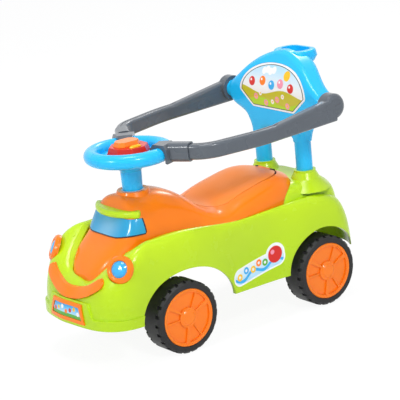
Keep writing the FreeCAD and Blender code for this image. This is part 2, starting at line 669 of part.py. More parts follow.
def make_top_cover():
    inner = cover_solid(-d.cover_wall, d.deck_z - 2)
    shell = cover_form.cut(inner)
    collar = Part.makeCone(d.collar_radius + 8, d.collar_radius, 18, Vector(d.steer_x, 0, d.collar_z - 18))
    neck = Part.makeCylinder(d.upper_bush_radius + 5, d.upper_bush_length + 4,
                             Vector(d.steer_x, 0, d.collar_z - d.upper_bush_length - 4))
    additions = [collar.cut(inner), neck]
    for x, y in cover_screw_places():
        for side in (1, -1):
            post = Part.makeCylinder(6, 200, Vector(x, side * y, d.deck_z))
            additions.append(post.common(cover_form))
    recess = recess_centre()
    additions.append(Part.makeSphere(d.recess_radius + d.cover_wall, recess).common(cover_form))
    shell = shell.fuse(additions)
    opening = column_of(d.lid_rear_x - 4, d.lid_front_x + d.lid_gap, d.lid_half_width + d.lid_gap,
                        d.lid_corner, d.deck_z, 400)
    top = Vector(d.steer_x, 0, d.collar_z)
    tools = [opening, Part.makeSphere(d.recess_radius, recess),
             Part.makeCylinder(d.upper_bush_radius, 80, top - Z_AXIS * 60),
             Part.makeCylinder(d.upper_bush_radius + 6, 20, top - Z_AXIS * d.bush_flange)]
    for x, y in cover_screw_places():
        for side in (1, -1):
            tools.append(Part.makeCylinder(d.screw_radius, 22, Vector(x, side * y, d.deck_z - 2)))
    hinge = hinge_axis()
    tools.append(box((hinge.x - 7, -31, hinge.z - 9), (hinge.x + 5, 31, 400)))
    return solid_of(shell.cut(tools))


def recess_centre():
    x = d.lid_front_x + 15
    return Vector(x, 0, top_of(cover_form, x, 0) + d.recess_radius - d.recess_depth)


def hinge_axis():
    return Vector(d.lid_rear_x, 0, top_of(cover_form, d.lid_rear_x, 0) - d.lid_thickness / 2)


def make_seat_lid():
    outline = column_of(d.lid_rear_x, d.lid_front_x, d.lid_half_width, d.lid_corner, d.deck_z, 400)
    skin = cover_solid(d.lid_proud, d.deck_z).common(outline).cut(cover_solid(-d.lid_thickness, d.deck_z - 2))
    hinge = hinge_axis()
    knuckle = Part.makeCylinder(d.knuckle_radius, 2 * d.knuckle_half, hinge - Y_AXIS * d.knuckle_half, Y_AXIS)
    tools = [Part.makeCylinder(d.pin_radius + d.running_gap, 100, hinge - Y_AXIS * 50, Y_AXIS),
             Part.makeSphere(d.recess_radius + d.lid_gap, recess_centre())]
    for side in (1, -1):
        low, high = sorted((side * d.knuckle_half, side * (d.knuckle_half + LUG_WIDTH + 1)))
        tools.append(box((hinge.x - 8, low, hinge.z - 20), (hinge.x + 6, high, hinge.z + 20)))
    return solid_of(skin.fuse(knuckle).cut(tools))


def make_storage_bin():
    under = cover_solid(-d.lid_thickness - d.side_gap, d.deck_z)
    outline = (d.lid_rear_x, d.lid_front_x, d.lid_half_width, d.lid_corner)

    def tub_column(grow, rear_extra, foot_z):
        x_low, x_high, half, corner = outline
        return column_of(x_low - grow - rear_extra, x_high + grow, half + grow, corner + grow, foot_z, 400)

    inner = tub_column(-d.bin_ledge, -2, d.deck_z + d.bin_wall)
    wall = tub_column(d.bin_wall - d.bin_ledge, -2, d.deck_z).common(under)
    rim = tub_column(7, 4, d.deck_z).common(under).cut(under.translated(Vector(0, 0, -RIM_DEPTH)))
    hinge = hinge_axis()
    tub = wall.fuse(rim).cut(inner)
    tub = tub.cut(Part.makeSphere(d.recess_radius + d.cover_wall + d.side_gap, recess_centre()))
    slot_half = d.knuckle_half + LUG_GAP
    tub = tub.cut(box((hinge.x - 6, -slot_half, hinge.z - 8), (hinge.x + 6, slot_half, 400)))
    lugs = []
    for side in (1, -1):
        low, high = sorted((side * slot_half, side * (d.knuckle_half + LUG_WIDTH)))
        lugs.append(Part.makeCylinder(d.knuckle_radius, high - low, Vector(hinge.x, low, hinge.z), Y_AXIS))
        lugs.append(box((hinge.x - d.knuckle_radius, low, hinge.z - 14),
                        (hinge.x + d.knuckle_radius, high, hinge.z)))
    tub = tub.fuse(lugs)
    return solid_of(tub.cut(Part.makeCylinder(d.pin_radius, 100, hinge - Y_AXIS * 50, Y_AXIS)))


def make_visor():
    radius, low = d.visor_radius, d.visor_z
    high, inner = low + d.visor_thickness, radius - d.visor_depth
    corners = [Vector(inner, 0, low), Vector(radius, 0, low), Vector(radius, 0, high), Vector(inner, 0, high)]
    ring = Part.Face(Part.makePolygon(corners + corners[:1])).revolve(Vector(), Z_AXIS, d.visor_angle)
    ring.Placement = Placement(Vector(d.visor_x, 0, 0), Rotation(Z_AXIS, -d.visor_angle / 2))
    ring = ring.makeFillet(d.visor_thickness * 0.4, ring.Edges)
    return solid_of(ring.cut(cover_solid(d.trim_gap, d.deck_z)))


def make_windscreen():
    """Thin panel on the hump's front, under the visor."""
    reach, low, high, back = d.screen_half, d.screen_low_z, d.visor_z - d.side_gap, d.screen_rear_x
    view = [Vector(back, -reach, high), Vector(back, -reach, low + 2), Vector(back, -reach / 2, low - 2),
            Vector(back, reach / 2, low - 2), Vector(back, reach, low + 2), Vector(back, reach, high)]
    panel = cover_solid(d.trim_gap + d.screen_thickness, d.deck_z).common(prism(view, X_AXIS * 120))
    return solid_of(panel.cut(cover_solid(d.trim_gap, d.deck_z)))


def make_grille_trim():
    """Bent bar with round ends that follows the nose under the bonnet."""
    half, low, rise = d.trim_half - d.trim_width / 2, d.trim_low_z + d.trim_width / 2, d.trim_rise
    tips = [Vector(200, side * half, low + rise) for side in (1, -1)]
    spine = Part.Wire(Part.Arc(tips[0], Vector(200, 0, low), tips[1]).toShape())
    outline = spine.makeOffset2D(d.trim_width / 2, openResult=False)
    bar = Part.Face(outline).extrude(X_AXIS * 200)
    return solid_of(bumper_form.common(bar).cut(band)).translated(X_AXIS * d.trim_gap)


def make_plate(label):
    """Number plate frame or its panel, on the bumper's front."""
    border = d.plate_border
    whole = bumper_face(d.plate_low_z, d.plate_low_half, d.plate_top_half, d.plate_top_z)
    inset = border if label == "plate_frame" else border + d.trim_gap
    window = bumper_face(d.plate_low_z + inset, d.plate_low_half - inset - 1, d.plate_top_half - inset,
                         d.plate_top_z - inset)
    proud, area = d.plate_proud / 2, window
    if label == "plate_frame":
        proud, area = d.plate_proud, whole.cut(window)
    ground = bumper_form.translated(X_AXIS * d.trim_gap)
    return solid_of(bumper_form.translated(X_AXIS * proud).common(area).cut(ground))


LEG_ROOT, GRIP_ROUND, GRIP_CORNER = 16.0, 4.0, 17.0


# Backrest: a front outline and a bent side profile, with two legs and a push grip behind the top.
def smooth(points, closed_by=()):
    """Smooth edge through points, with straight edges along the closing corners."""
    curve = Part.BSplineCurve()
    curve.interpolate(points)
    corners = [points[-1], *closed_by]
    return [curve.toShape()] + [Part.makeLine(a, b) for a, b in zip(corners, corners[1:])]


def back_outline(x):
    """Front view of the plate, from the foot of one leg over the top to the other."""
    top, ear, ear_z = d.back_top_z, d.ear_half, d.ear_z
    out, inner, foot = d.leg_y + d.leg_radius, d.leg_y - d.leg_radius, d.leg_arch_z - LEG_ROOT
    half = [(0, top), (36, top - 7), (72, top - 22), (102, top - 43), (ear - 20, top - 65),
            (ear - 3, ear_z + 13), (ear, ear_z), (ear - 5, ear_z - 17), (ear - 19, ear_z - 29),
            (ear - 38, ear_z - 37),
            (out + 14, ear_z - 46), (out + 4, ear_z - 61), (out, foot + 4)]
    over = [Vector(x, -y, z) for y, z in half[:0:-1]] + [Vector(x, y, z) for y, z in half]
    under = [(inner, foot + 4), (inner - 7, d.leg_arch_z - 6), (inner - 24, d.leg_arch_z - 1),
             (0, d.leg_arch_z)]
    arch_line = [Vector(x, y, z) for y, z in under] + [Vector(x, -y, z) for y, z in under[-2::-1]]
    left_foot = [Vector(x, out, foot), Vector(x, inner, foot), arch_line[0]]
    right_foot = [Vector(x, -inner, foot), Vector(x, -out, foot), over[0]]
    return Part.Wire(smooth(over, left_foot) + smooth(arch_line, right_foot))


def back_profile():
    """Side view of the plate, filled, across the whole width."""
    front, rear, top, bend = d.back_front_x, d.back_front_x - d.back_thickness, d.back_top_z, d.ear_z + 10
    face = [(front, bend - 60), (front, bend - 20), (front - 2, bend + 15), (front - 11, bend + 42),
            (front - 24, bend + 66), (front - 34, top + 4)]
    back = [(front - 76, top + 4), (rear - 26, bend + 53), (rear - 13, bend + 33), (rear - 3, bend + 12),
            (rear, bend - 20), (rear, bend - 60)]
    low = d.leg_arch_z - LEG_ROOT - 1
    face_line = [Vector(x, -200, z) for x, z in face]
    back_line = [Vector(x, -200, z) for x, z in back]
    edges = smooth(face_line, [back_line[0]])
    foot = [Vector(d.leg_x - d.leg_radius, -200, low), Vector(d.leg_x + d.leg_radius, -200, low)]
    edges += smooth(back_line, [*foot, face_line[0]])
    return Part.Face(Part.Wire(edges)).extrude(Y_AXIS * 400)


def label_prism(grow):
    """Front view of the printed panel: a flat foot, sloping sides and an arched top."""
    top, low, half = d.back_top_z - 24 + grow, d.leg_arch_z + 44 - grow, d.ear_half - 44 + grow
    arch_half = [(half, d.ear_z + 8), (half * 0.93, top - 40), (half * 0.76, top - 21),
                 (half * 0.42, top - 5)]
    arch_line = [Vector(-400, -y, z) for y, z in arch_half] + [Vector(-400, 0, top)]
    arch_line += [Vector(-400, y, z) for y, z in arch_half[::-1]]
    foot = [Vector(-400, half * 0.62, low), Vector(-400, -half * 0.62, low), arch_line[0]]
    panel = Part.Face(Part.Wire(smooth(arch_line, foot))).extrude(X_AXIS * 400)
    return panel.makeFillet(d.label_corner, [edge for edge in panel.Edges if edge.BoundBox.XLength > 1])


def make_backrest():
    profile = back_profile()
    plate = solid_of(Part.Face(back_outline(-400)).extrude(X_AXIS * 400).common(profile))
    plate = plate.makeFillet(d.back_round, [edge for edge in plate.Edges if edge.BoundBox.ZLength > 1])
    plate = plate.cut(label_prism(0.3).cut(profile.translated(X_AXIS * -d.label_recess)))
    additions = []
    for side in (1, -1):
        additions.append(Part.makeCylinder(d.leg_radius, d.leg_arch_z - LEG_ROOT + 2 - d.leg_foot_z,
                                           Vector(d.leg_x, side * d.leg_y, d.leg_foot_z)))
        additions.append(Part.makeCylinder(d.stub_radius, d.stub_end_y - d.ear_half + 14,
                                           Vector(d.ear_x, side * (d.ear_half - 14), d.ear_z), Y_AXIS * side))
    rear, low, top = d.grip_rear_x, d.grip_low_z, d.back_top_z - 3
    front = d.back_front_x - 32
    wires = [round_plate(rear + 42, front, d.grip_half - 14, 10, low - 24),
             round_plate(rear + 6, front - 2, d.grip_half - 4, 22, low + 3),
             round_plate(rear, front - 4, d.grip_half, 26, low + 12),
             round_plate(rear + 2, front - 6, d.grip_half - 2, 26, top)]
    grip = Part.makeLoft(wires[:2], True, True).fuse(Part.makeLoft(wires[1:3], True, True))
    grip = grip.fuse(Part.makeLoft(wires[2:], True, True))
    grip = grip.makeFillet(GRIP_ROUND, [edge for edge in grip.Edges if edge.BoundBox.ZMin > top - 0.1])
    hole = column_of(d.grip_rear_x + d.grip_bar, d.grip_hole_front_x, d.grip_hole_half, GRIP_CORNER,
                     low - 60, top + 40)
    body = plate.fuse(additions + [grip]).cut(hole)
    pilots = [Part.makeCylinder(d.screw_radius, 16, Vector(d.leg_x, side * d.leg_y, d.leg_foot_z))
              for side in (1, -1)]
    return solid_of(body.cut(pilots))


def make_back_label():
    profile = back_profile()
    skin = label_prism(0).common(profile.translated(X_AXIS * -0.2))
    return solid_of(skin.cut(profile.translated(X_AXIS * (d.trim_gap - d.label_recess))))


# Headlights.
def make_lamp(label, side):
    """Ring or lens of a headlight, built on its seat."""
    seat, out = lamp_frame(side)
    ring, lens, sink = d.lamp_radius, d.lens_radius, d.lamp_sink
    if label == "ring":
        corners = [(lens, -sink), (ring, -sink), (ring, 0), (ring - 3, 4.5), (ring - 7, 6), (lens + 2, 5),
                   (lens, 3)]
    else:
        snug = lens - d.socket_gap
        corners = [(0, -sink), (snug, -sink), (snug, 2.5), (lens - 4, 5.5), (lens - 9, 7), (0, 7.6)]
    points = [Vector(radius, 0, rise) for radius, rise in corners]
    solid = Part.Face(Part.makePolygon(points + points[:1])).revolve(Vector(), Z_AXIS, 360)
    solid.Placement = Placement(seat, Rotation(Z_AXIS, out))
    return solid


feature("body_shell", make_body_shell())
feature("top_cover", make_top_cover())
feature("seat_lid", make_seat_lid())
feature("storage_bin", make_storage_bin())
feature("sun_visor", make_visor())
feature("windscreen", make_windscreen())
feature("grille_trim", make_grille_trim())
for plate_label in ("plate_frame", "plate_panel"):
    feature(plate_label, make_plate(plate_label))
feature("backrest", make_backrest())
feature("backrest_label", make_back_label())
for side_name, side in SIDES:
    feature(f"headlight_ring_{side_name}", make_lamp("ring", side))
    feature(f"headlight_lens_{side_name}", make_lamp("lens", side))

# Wheels: tyre and hub in one turned moulding, and a disc pressed into its face.
def make_wheel(end, side_name):
    axle_x = f"{end}_axle_x"
    spin = Rotation(Z_AXIS, 0 if side_name == "left" else 180)
    tyre = new_body(f"{end}_{side_name}_tyre")
    o, inner = "tyre_outer_y", "wheel_radius - tyre_wall"
    turned(tyre, f"{tyre.Label}_turn", (
        ("axle_radius + running_gap", f"{o} - hub_length"), ("hub_radius", f"{o} - hub_length"),
        ("hub_radius", f"{o} - web_back"), (inner, f"{o} - web_back"), (inner, f"{o} - tyre_width"),
        ("wheel_radius - tyre_shoulder", f"{o} - tyre_width"),
        ("wheel_radius", f"{o} - tyre_width + tyre_shoulder"), ("wheel_radius", f"{o} - tyre_shoulder"),
        ("wheel_radius - tyre_shoulder", o), ("disc_radius + side_gap", o),
        ("disc_radius + side_gap", f"{o} - disc_seat"), ("disc_radius - disc_rim", f"{o} - disc_seat"),
        ("disc_radius - disc_rim", f"{o} - web_front"), ("hub_radius", f"{o} - web_front"),
        ("hub_radius", f"{o} - 6"), ("axle_radius + running_gap", f"{o} - 6")), "XY_Plane")
    for edge, middle in (("outer", f"{o} - tyre_shoulder"), ("inner", f"{o} - tyre_width + tyre_shoulder")):
        sketch = new_sketch(tyre, f"{tyre.Label}_{edge}_notch_profile", "XY_Plane")
        low, high = "wheel_radius - lug_depth", "wheel_radius + 2"
        start, stop = f"{middle} - tyre_shoulder * 1.4", f"{middle} + tyre_shoulder * 1.4"
        polygon(sketch, ((low, start), (high, start), (high, stop), (low, stop)))
        notch = tyre.newObject("PartDesign::Pocket", f"{tyre.Label}_{edge}_notch")
        notch.Profile = sketch
        notch.Midplane = True
        bind(notch, {"Length": "lug_width"})
        polar(tyre, f"{tyre.Label}_{edge}_lugs", [notch], "Y_Axis", "lug_count")
    place(tyre, axle_x, "0", "wheel_radius", spin)

    disc = new_body(f"{end}_{side_name}_disc")
    turned(disc, f"{disc.Label}_turn", (
        ("0", f"{o} + 1.5"), ("13", f"{o} + 1.5"), ("16", f"{o} - 1"), ("disc_radius - disc_rim", f"{o} - 1"),
        ("disc_radius - disc_rim + 1.5", f"{o} + 1"), ("disc_radius - 1.5", f"{o} + 1"),
        ("disc_radius", f"{o} - 1"), ("disc_radius", f"{o} - disc_seat"),
        ("disc_radius - disc_rim", f"{o} - disc_seat"), ("disc_radius - disc_rim", f"{o} - 6"),
        ("11.5", f"{o} - 6"), ("11.5", f"{o} - 1.5"), ("0", f"{o} - 1.5")), "XY_Plane")
    for kind, start, angle in (("wide", 42, "wide_panel"), ("narrow", 105, "narrow_panel")):
        tilt = Placement(Vector(), Rotation(Y_AXIS, start))
        sketch = new_sketch(disc, f"{disc.Label}_{kind}_profile", "XY_Plane", tilt)
        low, high = f"{o} - 1 - panel_depth", f"{o} + 1"
        edge = "disc_radius - disc_rim - 2"
        polygon(sketch, (("20", low), (edge, low), (edge, high), ("20", high)))
        groove = revolve(disc, f"{disc.Label}_{kind}_groove", sketch, "PartDesign::Groove", angle)
        polar(disc, f"{disc.Label}_{kind}_panels", [groove], "Y_Axis", "3")
    place(disc, axle_x, "0", "wheel_radius", spin)


for end in ("front", "rear"):
    for side_name, side in SIDES:
        make_wheel(end, side_name)

# Axles, push nuts and the rear bushes.
AXLE_END = "tyre_outer_y - 3"
HUB_END = "tyre_outer_y - hub_length - side_gap"
for end in ("front", "rear"):
    axle = cylinder(f"{end}_axle", "axle_radius", f"2 * ({AXLE_END})", f"{end}_axle_x", AXLE_END,
                    "wheel_radius", Vector(0, -1, 0))
    node(axle, f"{end}_axle")
    for side_name, side in SIDES:
        nut = new_body(f"{end}_{side_name}_push_nut")
        turned(nut, f"{nut.Label}_turn", (
            ("axle_radius", "tyre_outer_y - 6 + side_gap"), ("10", "tyre_outer_y - 6 + side_gap"),
            ("10", "tyre_outer_y - 5"), ("axle_radius + 2", "tyre_outer_y - 3.5"),
            ("axle_radius", "tyre_outer_y - 3.5")), "XY_Plane")
        place(nut, f"{end}_axle_x", "0", "wheel_radius", Rotation(Z_AXIS, 0 if side > 0 else 180))
for side_name, side in SIDES:
    bush = new_body(f"rear_{side_name}_bush")
    turned(bush, f"{bush.Label}_turn", (
        ("axle_radius", "leg_y - 8"), ("rear_bush_radius", "leg_y - 8"), ("rear_bush_radius", "leg_y + 4"),
        ("rear_bush_radius + 3", "leg_y + 4"), ("rear_bush_radius + 3", HUB_END), ("axle_radius", HUB_END)),
        "XY_Plane")
    place(bush, "rear_axle_x", "0", "wheel_radius", Rotation(Z_AXIS, 0 if side > 0 else 180))

# Steering: carrier, rod, bushes and wheel.
tube = cylinder("carrier_tube", "carrier_radius", f"2 * ({HUB_END})", "front_axle_x", HUB_END, "wheel_radius",
                Vector(0, -1, 0))
post = cylinder("carrier_post", "post_radius", "carrier_top_z - wheel_radius", "steer_x", "0", "wheel_radius")
axle_bore = cylinder("carrier_axle_bore", "axle_radius", "400", "front_axle_x", "200", "wheel_radius",
                     Vector(0, -1, 0))
ROD_FOOT = "wheel_radius + 8"
rod_bore = cylinder("carrier_rod_bore", "rod_radius", "60", "steer_x", "0", ROD_FOOT)
carrier = cut("carrier_axle_cut", fuse("carrier_blank", tube, post), axle_bore)
node(cut("carrier_rod_cut", carrier, rod_bore), "axle_carrier")
rod = cylinder("steering_rod", "rod_radius", f"rod_top_z - ({ROD_FOOT})", "steer_x", "0", ROD_FOOT)
node(rod, "steering_rod")
ROD_BORE = "rod_radius + running_gap"
lower_bush = new_body("lower_bush")
turned(lower_bush, "lower_bush_turn", (
    (ROD_BORE, "boss_bottom_z - bush_flange"), ("boss_radius - 1", "boss_bottom_z - bush_flange"),
    ("boss_radius - 1", "boss_bottom_z"), ("lower_bush_radius", "boss_bottom_z"),
    ("lower_bush_radius", "deck_z"), (ROD_BORE, "deck_z")), "XZ_Plane")
place(lower_bush, "steer_x")
upper_bush = new_body("upper_bush")
turned(upper_bush, "upper_bush_turn", (
    (ROD_BORE, "collar_z - upper_bush_length"), ("upper_bush_radius", "collar_z - upper_bush_length"),
    ("upper_bush_radius", "collar_z - bush_flange"), ("upper_bush_radius + 5.5", "collar_z - bush_flange"),
    ("upper_bush_radius + 5.5", "collar_z"), (ROD_BORE, "collar_z")), "XZ_Plane")
place(upper_bush, "steer_x")

steering_wheel = new_body("steering_wheel")
web = "rim_z - 8"
turned(steering_wheel, "steering_column", (
    ("rod_radius", "collar_z + side_gap"), ("column_radius - 1", "collar_z + side_gap"),
    ("column_radius", "neck_z"), ("plateau_radius - 9", f"{web} - 7"), ("rim_radius - 8", f"{web} - 2"),
    ("rim_radius - 8", f"{web} + web_thickness - 2"), ("plateau_radius + 2", f"{web} + web_thickness"),
    ("plateau_radius", "plateau_z"), ("0", "plateau_z"),
    ("0", "rod_top_z"), ("rod_radius", "rod_top_z")), "XZ_Plane")
rim_sketch = new_sketch(steering_wheel, "steering_rim_profile", "XZ_Plane")
circle(rim_sketch, "rim_radius", "rim_z", "rim_tube")
revolve(steering_wheel, "steering_rim", rim_sketch, "PartDesign::Revolution", "360")
for side_name, side in SIDES:
    spot = Placement(Vector(), Rotation(Y_AXIS, side * d.clip_angle))
    gap = new_sketch(steering_wheel, f"steering_gap_{side_name}_profile", "XZ_Plane", spot)
    edge = "rim_radius - rim_tube"
    polygon(gap, (("plateau_radius + 0.5", f"{web} - 20"), (edge, f"{web} - 20"), (edge, f"{web} + 20"),
                  ("plateau_radius + 0.5", f"{web} + 20")))
    revolve(steering_wheel, f"steering_gap_{side_name}", gap, "PartDesign::Groove", "spoke_gap_angle")
place(steering_wheel, "steer_x")


# Horn: an eight-sided housing with two buttons.
def eight_sided(body, name, radius, height):
    sketch = new_sketch(body, name, "XY_Plane")
    bind(sketch, {"AttachmentOffset.Base.z": height})
    turns = [math.radians(22.5 + 45 * step) for step in range(8)]
    polygon(sketch, [(f"({radius}) * {math.cos(a):.6f}", f"({radius}) * {math.sin(a):.6f}") for a in turns])
    return sketch


def cropped(body, name, half_x, half_y, corner, shift, height):
    """Rectangle with cropped corners, its middle shifted along Y."""
    sketch = new_sketch(body, name, "XY_Plane")
    bind(sketch, {"AttachmentOffset.Base.z": height})
    w, h, c = f"({half_x})", f"({half_y})", f"({corner})"
    corners = [(w, f"{c} - {h}"), (w, f"{h} - {c}"), (f"{w} - {c}", h), (f"{c} - {w}", h),
               (f"-{w}", f"{h} - {c}"), (f"-{w}", f"{c} - {h}"), (f"{c} - {w}", f"-{h}"),
               (f"{w} - {c}", f"-{h}")]
    polygon(sketch, [(across, f"{along} + {shift}") for across, along in corners])
    return sketch


def loft_between(body, name, lower, upper):
    solid = body.newObject("PartDesign::AdditiveLoft", name)
    solid.Profile = lower
    solid.Sections = [upper]
    return solid


HORN_TOP = "plateau_z + horn_rise"
BUTTON_STEM = 5
BUTTONS = (("horn_button", "horn_button_x", "horn_button_y", "9", "-horn_button_shift", "horn_button_rise",
            "horn_travel"),
           ("tune_button", "tune_button_x", "tune_button_y", "2", "tune_button_shift", "tune_button_rise",
            "tune_travel"))
housing = new_body("horn_housing")
loft_between(housing, "housing_form", eight_sided(housing, "housing_foot", "horn_radius", "plateau_z"),
             eight_sided(housing, "housing_top", "horn_top_radius", HORN_TOP))
for label, half_x, half_y, corner, shift, rise, travel in BUTTONS:
    well_outline = cropped(housing, f"{label}_well_outline", f"{half_x} + button_gap",
                           f"{half_y} + button_gap", corner, shift, HORN_TOP)
    well = housing.newObject("PartDesign::Pocket", f"{label}_well")
    well.Profile = well_outline
    bind(well, {"Length": f"{travel} + {BUTTON_STEM} + 0.5"})
place(housing, "steer_x")
for label, half_x, half_y, corner, shift, rise, travel in BUTTONS:
    button = new_body(label)
    lower = cropped(button, f"{label}_foot", half_x, half_y, corner, shift, f"{HORN_TOP} - {BUTTON_STEM}")
    shoulder = cropped(button, f"{label}_shoulder", f"{half_x} - side_gap", f"{half_y} - side_gap", corner,
                       shift, f"{HORN_TOP} + 1")
    crown = cropped(button, f"{label}_crown", f"{half_x} - 3", f"{half_y} - 2", corner, shift,
                    f"{HORN_TOP} + {rise}")
    loft_between(button, f"{label}_stem", lower, shoulder)
    loft_between(button, f"{label}_cap", shoulder, crown)
    place(button, "steer_x")

# Guard arms: a bent bar on a turned hub, and a clip that saddles the steering wheel's rim.
RUN, SLOW, BEND = "arm_straight", "arm_sweep", "arm_bend"
FIRST, LAST = "arm_first_turn", "(arm_first_turn + arm_second_turn)"
JOIN_1 = (f"{RUN} + {SLOW} * sin({FIRST})", f"{SLOW} * (cos({FIRST}) - 1)")
JOIN_2 = (f"{JOIN_1[0]} + arm_middle_run * cos({FIRST})", f"{JOIN_1[1]} - arm_middle_run * sin({FIRST})")
JOIN_3 = (f"{JOIN_2[0]} + {BEND} * (sin({LAST}) - sin({FIRST}))",
          f"{JOIN_2[1]} + {BEND} * (cos({LAST}) - cos({FIRST}))")
TIP = (f"{JOIN_3[0]} + arm_last_run * cos({LAST})", f"{JOIN_3[1]} - arm_last_run * sin({LAST})")


def arm_path(sketch, side):
    """Two straight runs and a third, joined by a slow and a tight arc."""
    joints = [("0", "0"), (RUN, "0"), JOIN_1, JOIN_2, JOIN_3, TIP]
    texts = [(across, f"{side} * ({along})") for across, along in joints]
    points = [Vector(number(across), number(along), 0) for across, along in texts]
    for index in range(5):
        start, stop = points[index], points[index + 1]
        if index % 2 == 0:
            run = sketch.addGeometry(Part.LineSegment(start, stop))
            ends = (1, 2)
        else:
            radius = SLOW if index == 1 else BEND
            heading = number("0" if index == 1 else FIRST)
            turn = number(FIRST if index == 1 else "arm_second_turn")
            middle_heading = math.radians(heading + turn / 2)
            away = Vector(math.sin(middle_heading), side * math.cos(middle_heading), 0)
            chord = (start + stop) / 2
            middle = chord + away * number(radius) * (1 - math.cos(math.radians(turn / 2)))
            run = sketch.addGeometry(Part.Arc(start, middle, stop))
            ends = (2, 1) if side > 0 else (1, 2)
            index_of = sketch.addConstraint(Sketcher.Constraint("Radius", run, number(radius)))
            sketch.setExpression(f"Constraints[{index_of}]", tied(radius))
        pin_point(sketch, run, ends[0], *texts[index])
        pin_point(sketch, run, ends[1], *texts[index + 1])


def arm_frame(side):
    tilt = Rotation(Y_AXIS, d.arm_tilt)
    return Placement(Vector(d.ear_x, side * d.arm_y, d.ear_z), tilt)


def make_arm(side_name, side):
    arm = new_body(f"guard_arm_{side_name}")
    path = new_sketch(arm, f"arm_path_{side_name}", "XY_Plane")
    bind(path, {"AttachmentOffset.Base.z": "-arm_drop"})
    arm_path(path, side)
    section = new_sketch(arm, f"arm_section_{side_name}", "YZ_Plane")
    bind(section, {"AttachmentOffset.Base.y": "-arm_drop"})
    rounded_rectangle(section, "arm_width / 2", "arm_height / 2", "arm_round")
    bar = arm.newObject("PartDesign::AdditivePipe", f"arm_bar_{side_name}")
    bar.Profile = section
    bar.Spine = path
    root = new_sketch(arm, f"arm_root_{side_name}", "YZ_Plane")
    bind(root, {"AttachmentOffset.Base.y": "-arm_root_drop"})
    rounded_rectangle(root, "arm_width / 2 - side_gap", "arm_root_height / 2", "arm_round")
    run_end = new_sketch(arm, f"arm_run_end_{side_name}", "YZ_Plane")
    bind(run_end, {"AttachmentOffset.Base.y": "-arm_drop", "AttachmentOffset.Base.z": "arm_straight"})
    rounded_rectangle(run_end, "arm_width / 2 - side_gap", "arm_height / 2 - side_gap", "arm_round")
    loft_between(arm, f"arm_taper_{side_name}", root, run_end)
    seam = new_sketch(arm, f"arm_seam_{side_name}_section", "YZ_Plane")
    bind(seam, {"AttachmentOffset.Base.y": "arm_height / 2 - arm_drop"})
    rounded_rectangle(seam, "arm_seam", "arm_seam", "arm_seam / 3")
    groove = arm.newObject("PartDesign::SubtractivePipe", f"arm_groove_{side_name}")
    groove.Profile = seam
    groove.Spine = path
    hub = new_sketch(arm, f"arm_hub_{side_name}_profile", "XY_Plane")
    inner, outer = f"{side} * (arm_hub_inner_y - arm_y)", f"{side} * (arm_hub_outer_y - arm_y)"
    polygon(hub, (("0", inner), ("arm_hub_radius", inner), ("arm_hub_radius", f"{outer} - {side} * 7"),
                  ("arm_hub_radius - 3", f"{outer} - {side} * 2.5"), ("arm_hub_radius - 8", outer),
                  ("0", outer)))
    revolve(arm, f"arm_hub_{side_name}", hub, "PartDesign::Revolution", "360")
    bore = new_sketch(arm, f"arm_bore_{side_name}_profile", "XY_Plane")
    end = f"{side} * (stub_end_y + side_gap - arm_y)"
    polygon(bore, (("0", f"{inner} - {side} * 20"), ("stub_radius + running_gap", f"{inner} - {side} * 20"),
                   ("stub_radius + running_gap", end), ("0", end)))
    revolve(arm, f"arm_bore_{side_name}", bore, "PartDesign::Groove", "360")
    arm.Placement = arm_frame(side)
    return arm


def make_clip(side):
    """Saddle over the rim and a sleeve over the arm's tip."""
    axis = Vector(d.steer_x, 0, 0)
    room, wall = d.rim_tube + d.clip_gap, d.clip_wall
    inner, outer, top = d.rim_radius - room - wall, d.rim_radius + room + wall, d.rim_z + room + wall
    corners = [(inner, d.rim_z - 4), (inner, top - 9), (inner + 8, top), (outer - 8, top), (outer, top - 9),
               (outer, d.rim_z - d.clip_skirt)]
    points = [Vector(radius, 0, z) for radius, z in corners]
    saddle = Part.Face(Part.makePolygon(points + points[:1])).revolve(Vector(), Z_AXIS, d.clip_span)
    saddle.Placement = Placement(axis, Rotation(Z_AXIS, side * d.clip_angle - d.clip_span / 2))
    frame = arm_frame(side)
    tip = Vector(number(TIP[0]), side * number(TIP[1]), -d.arm_drop)
    heading = -side * number(LAST)

    def bar(grow, start, stop):
        half_w, half_h = d.arm_width / 2 + grow, d.arm_height / 2 + grow
        block = box((start, -half_w, -half_h), (stop, half_w, half_h))
        edges = [e for e in block.Edges if abs(e.tangentAt(e.FirstParameter).x) > 0.9]
        block = block.makeFillet(d.arm_round + grow, edges)
        block.Placement = frame.multiply(Placement(tip, Rotation(Z_AXIS, heading)))
        return block

    reach = Vector(math.cos(math.radians(d.clip_angle)), side * math.sin(math.radians(d.clip_angle)), 0)
    tip_world = frame.multVec(tip)
    ahead = (tip_world - axis).dot(reach) - outer + 4
    sleeve = bar(d.sleeve_gap + d.sleeve_wall, -d.sleeve_length, ahead)
    ring = Part.makeTorus(d.rim_radius, room, Vector(d.steer_x, 0, d.rim_z - d.clip_gap + d.side_gap))
    below = Part.makeCylinder(d.rim_radius + room, 60, Vector(d.steer_x, 0, d.rim_z - 60))
    below = below.cut(Part.makeCylinder(d.rim_radius - room, 60, Vector(d.steer_x, 0, d.rim_z - 60)))
    clip = saddle.fuse(sleeve).cut([ring, below, bar(d.sleeve_gap, -d.sleeve_length - 5, 0)])
    clip = clip.cut(Part.makeCylinder(d.rim_radius - room - wall, 100, Vector(d.steer_x, 0, d.rim_z - 50)))
    return solid_of(clip)


for side_name, side in SIDES:
    make_arm(side_name, side)
    feature(f"arm_clip_{side_name}", make_clip(side))

# Seat hinge pin and screws.
pin_axis = hinge_axis()
pin_length = 2 * (d.knuckle_half + LUG_WIDTH)
pin_start = pin_axis - Y_AXIS * pin_length / 2
feature("seat_hinge_pin", Part.makeCylinder(d.pin_radius, pin_length, pin_start, Y_AXIS))


HEAD_RISE = 2.5


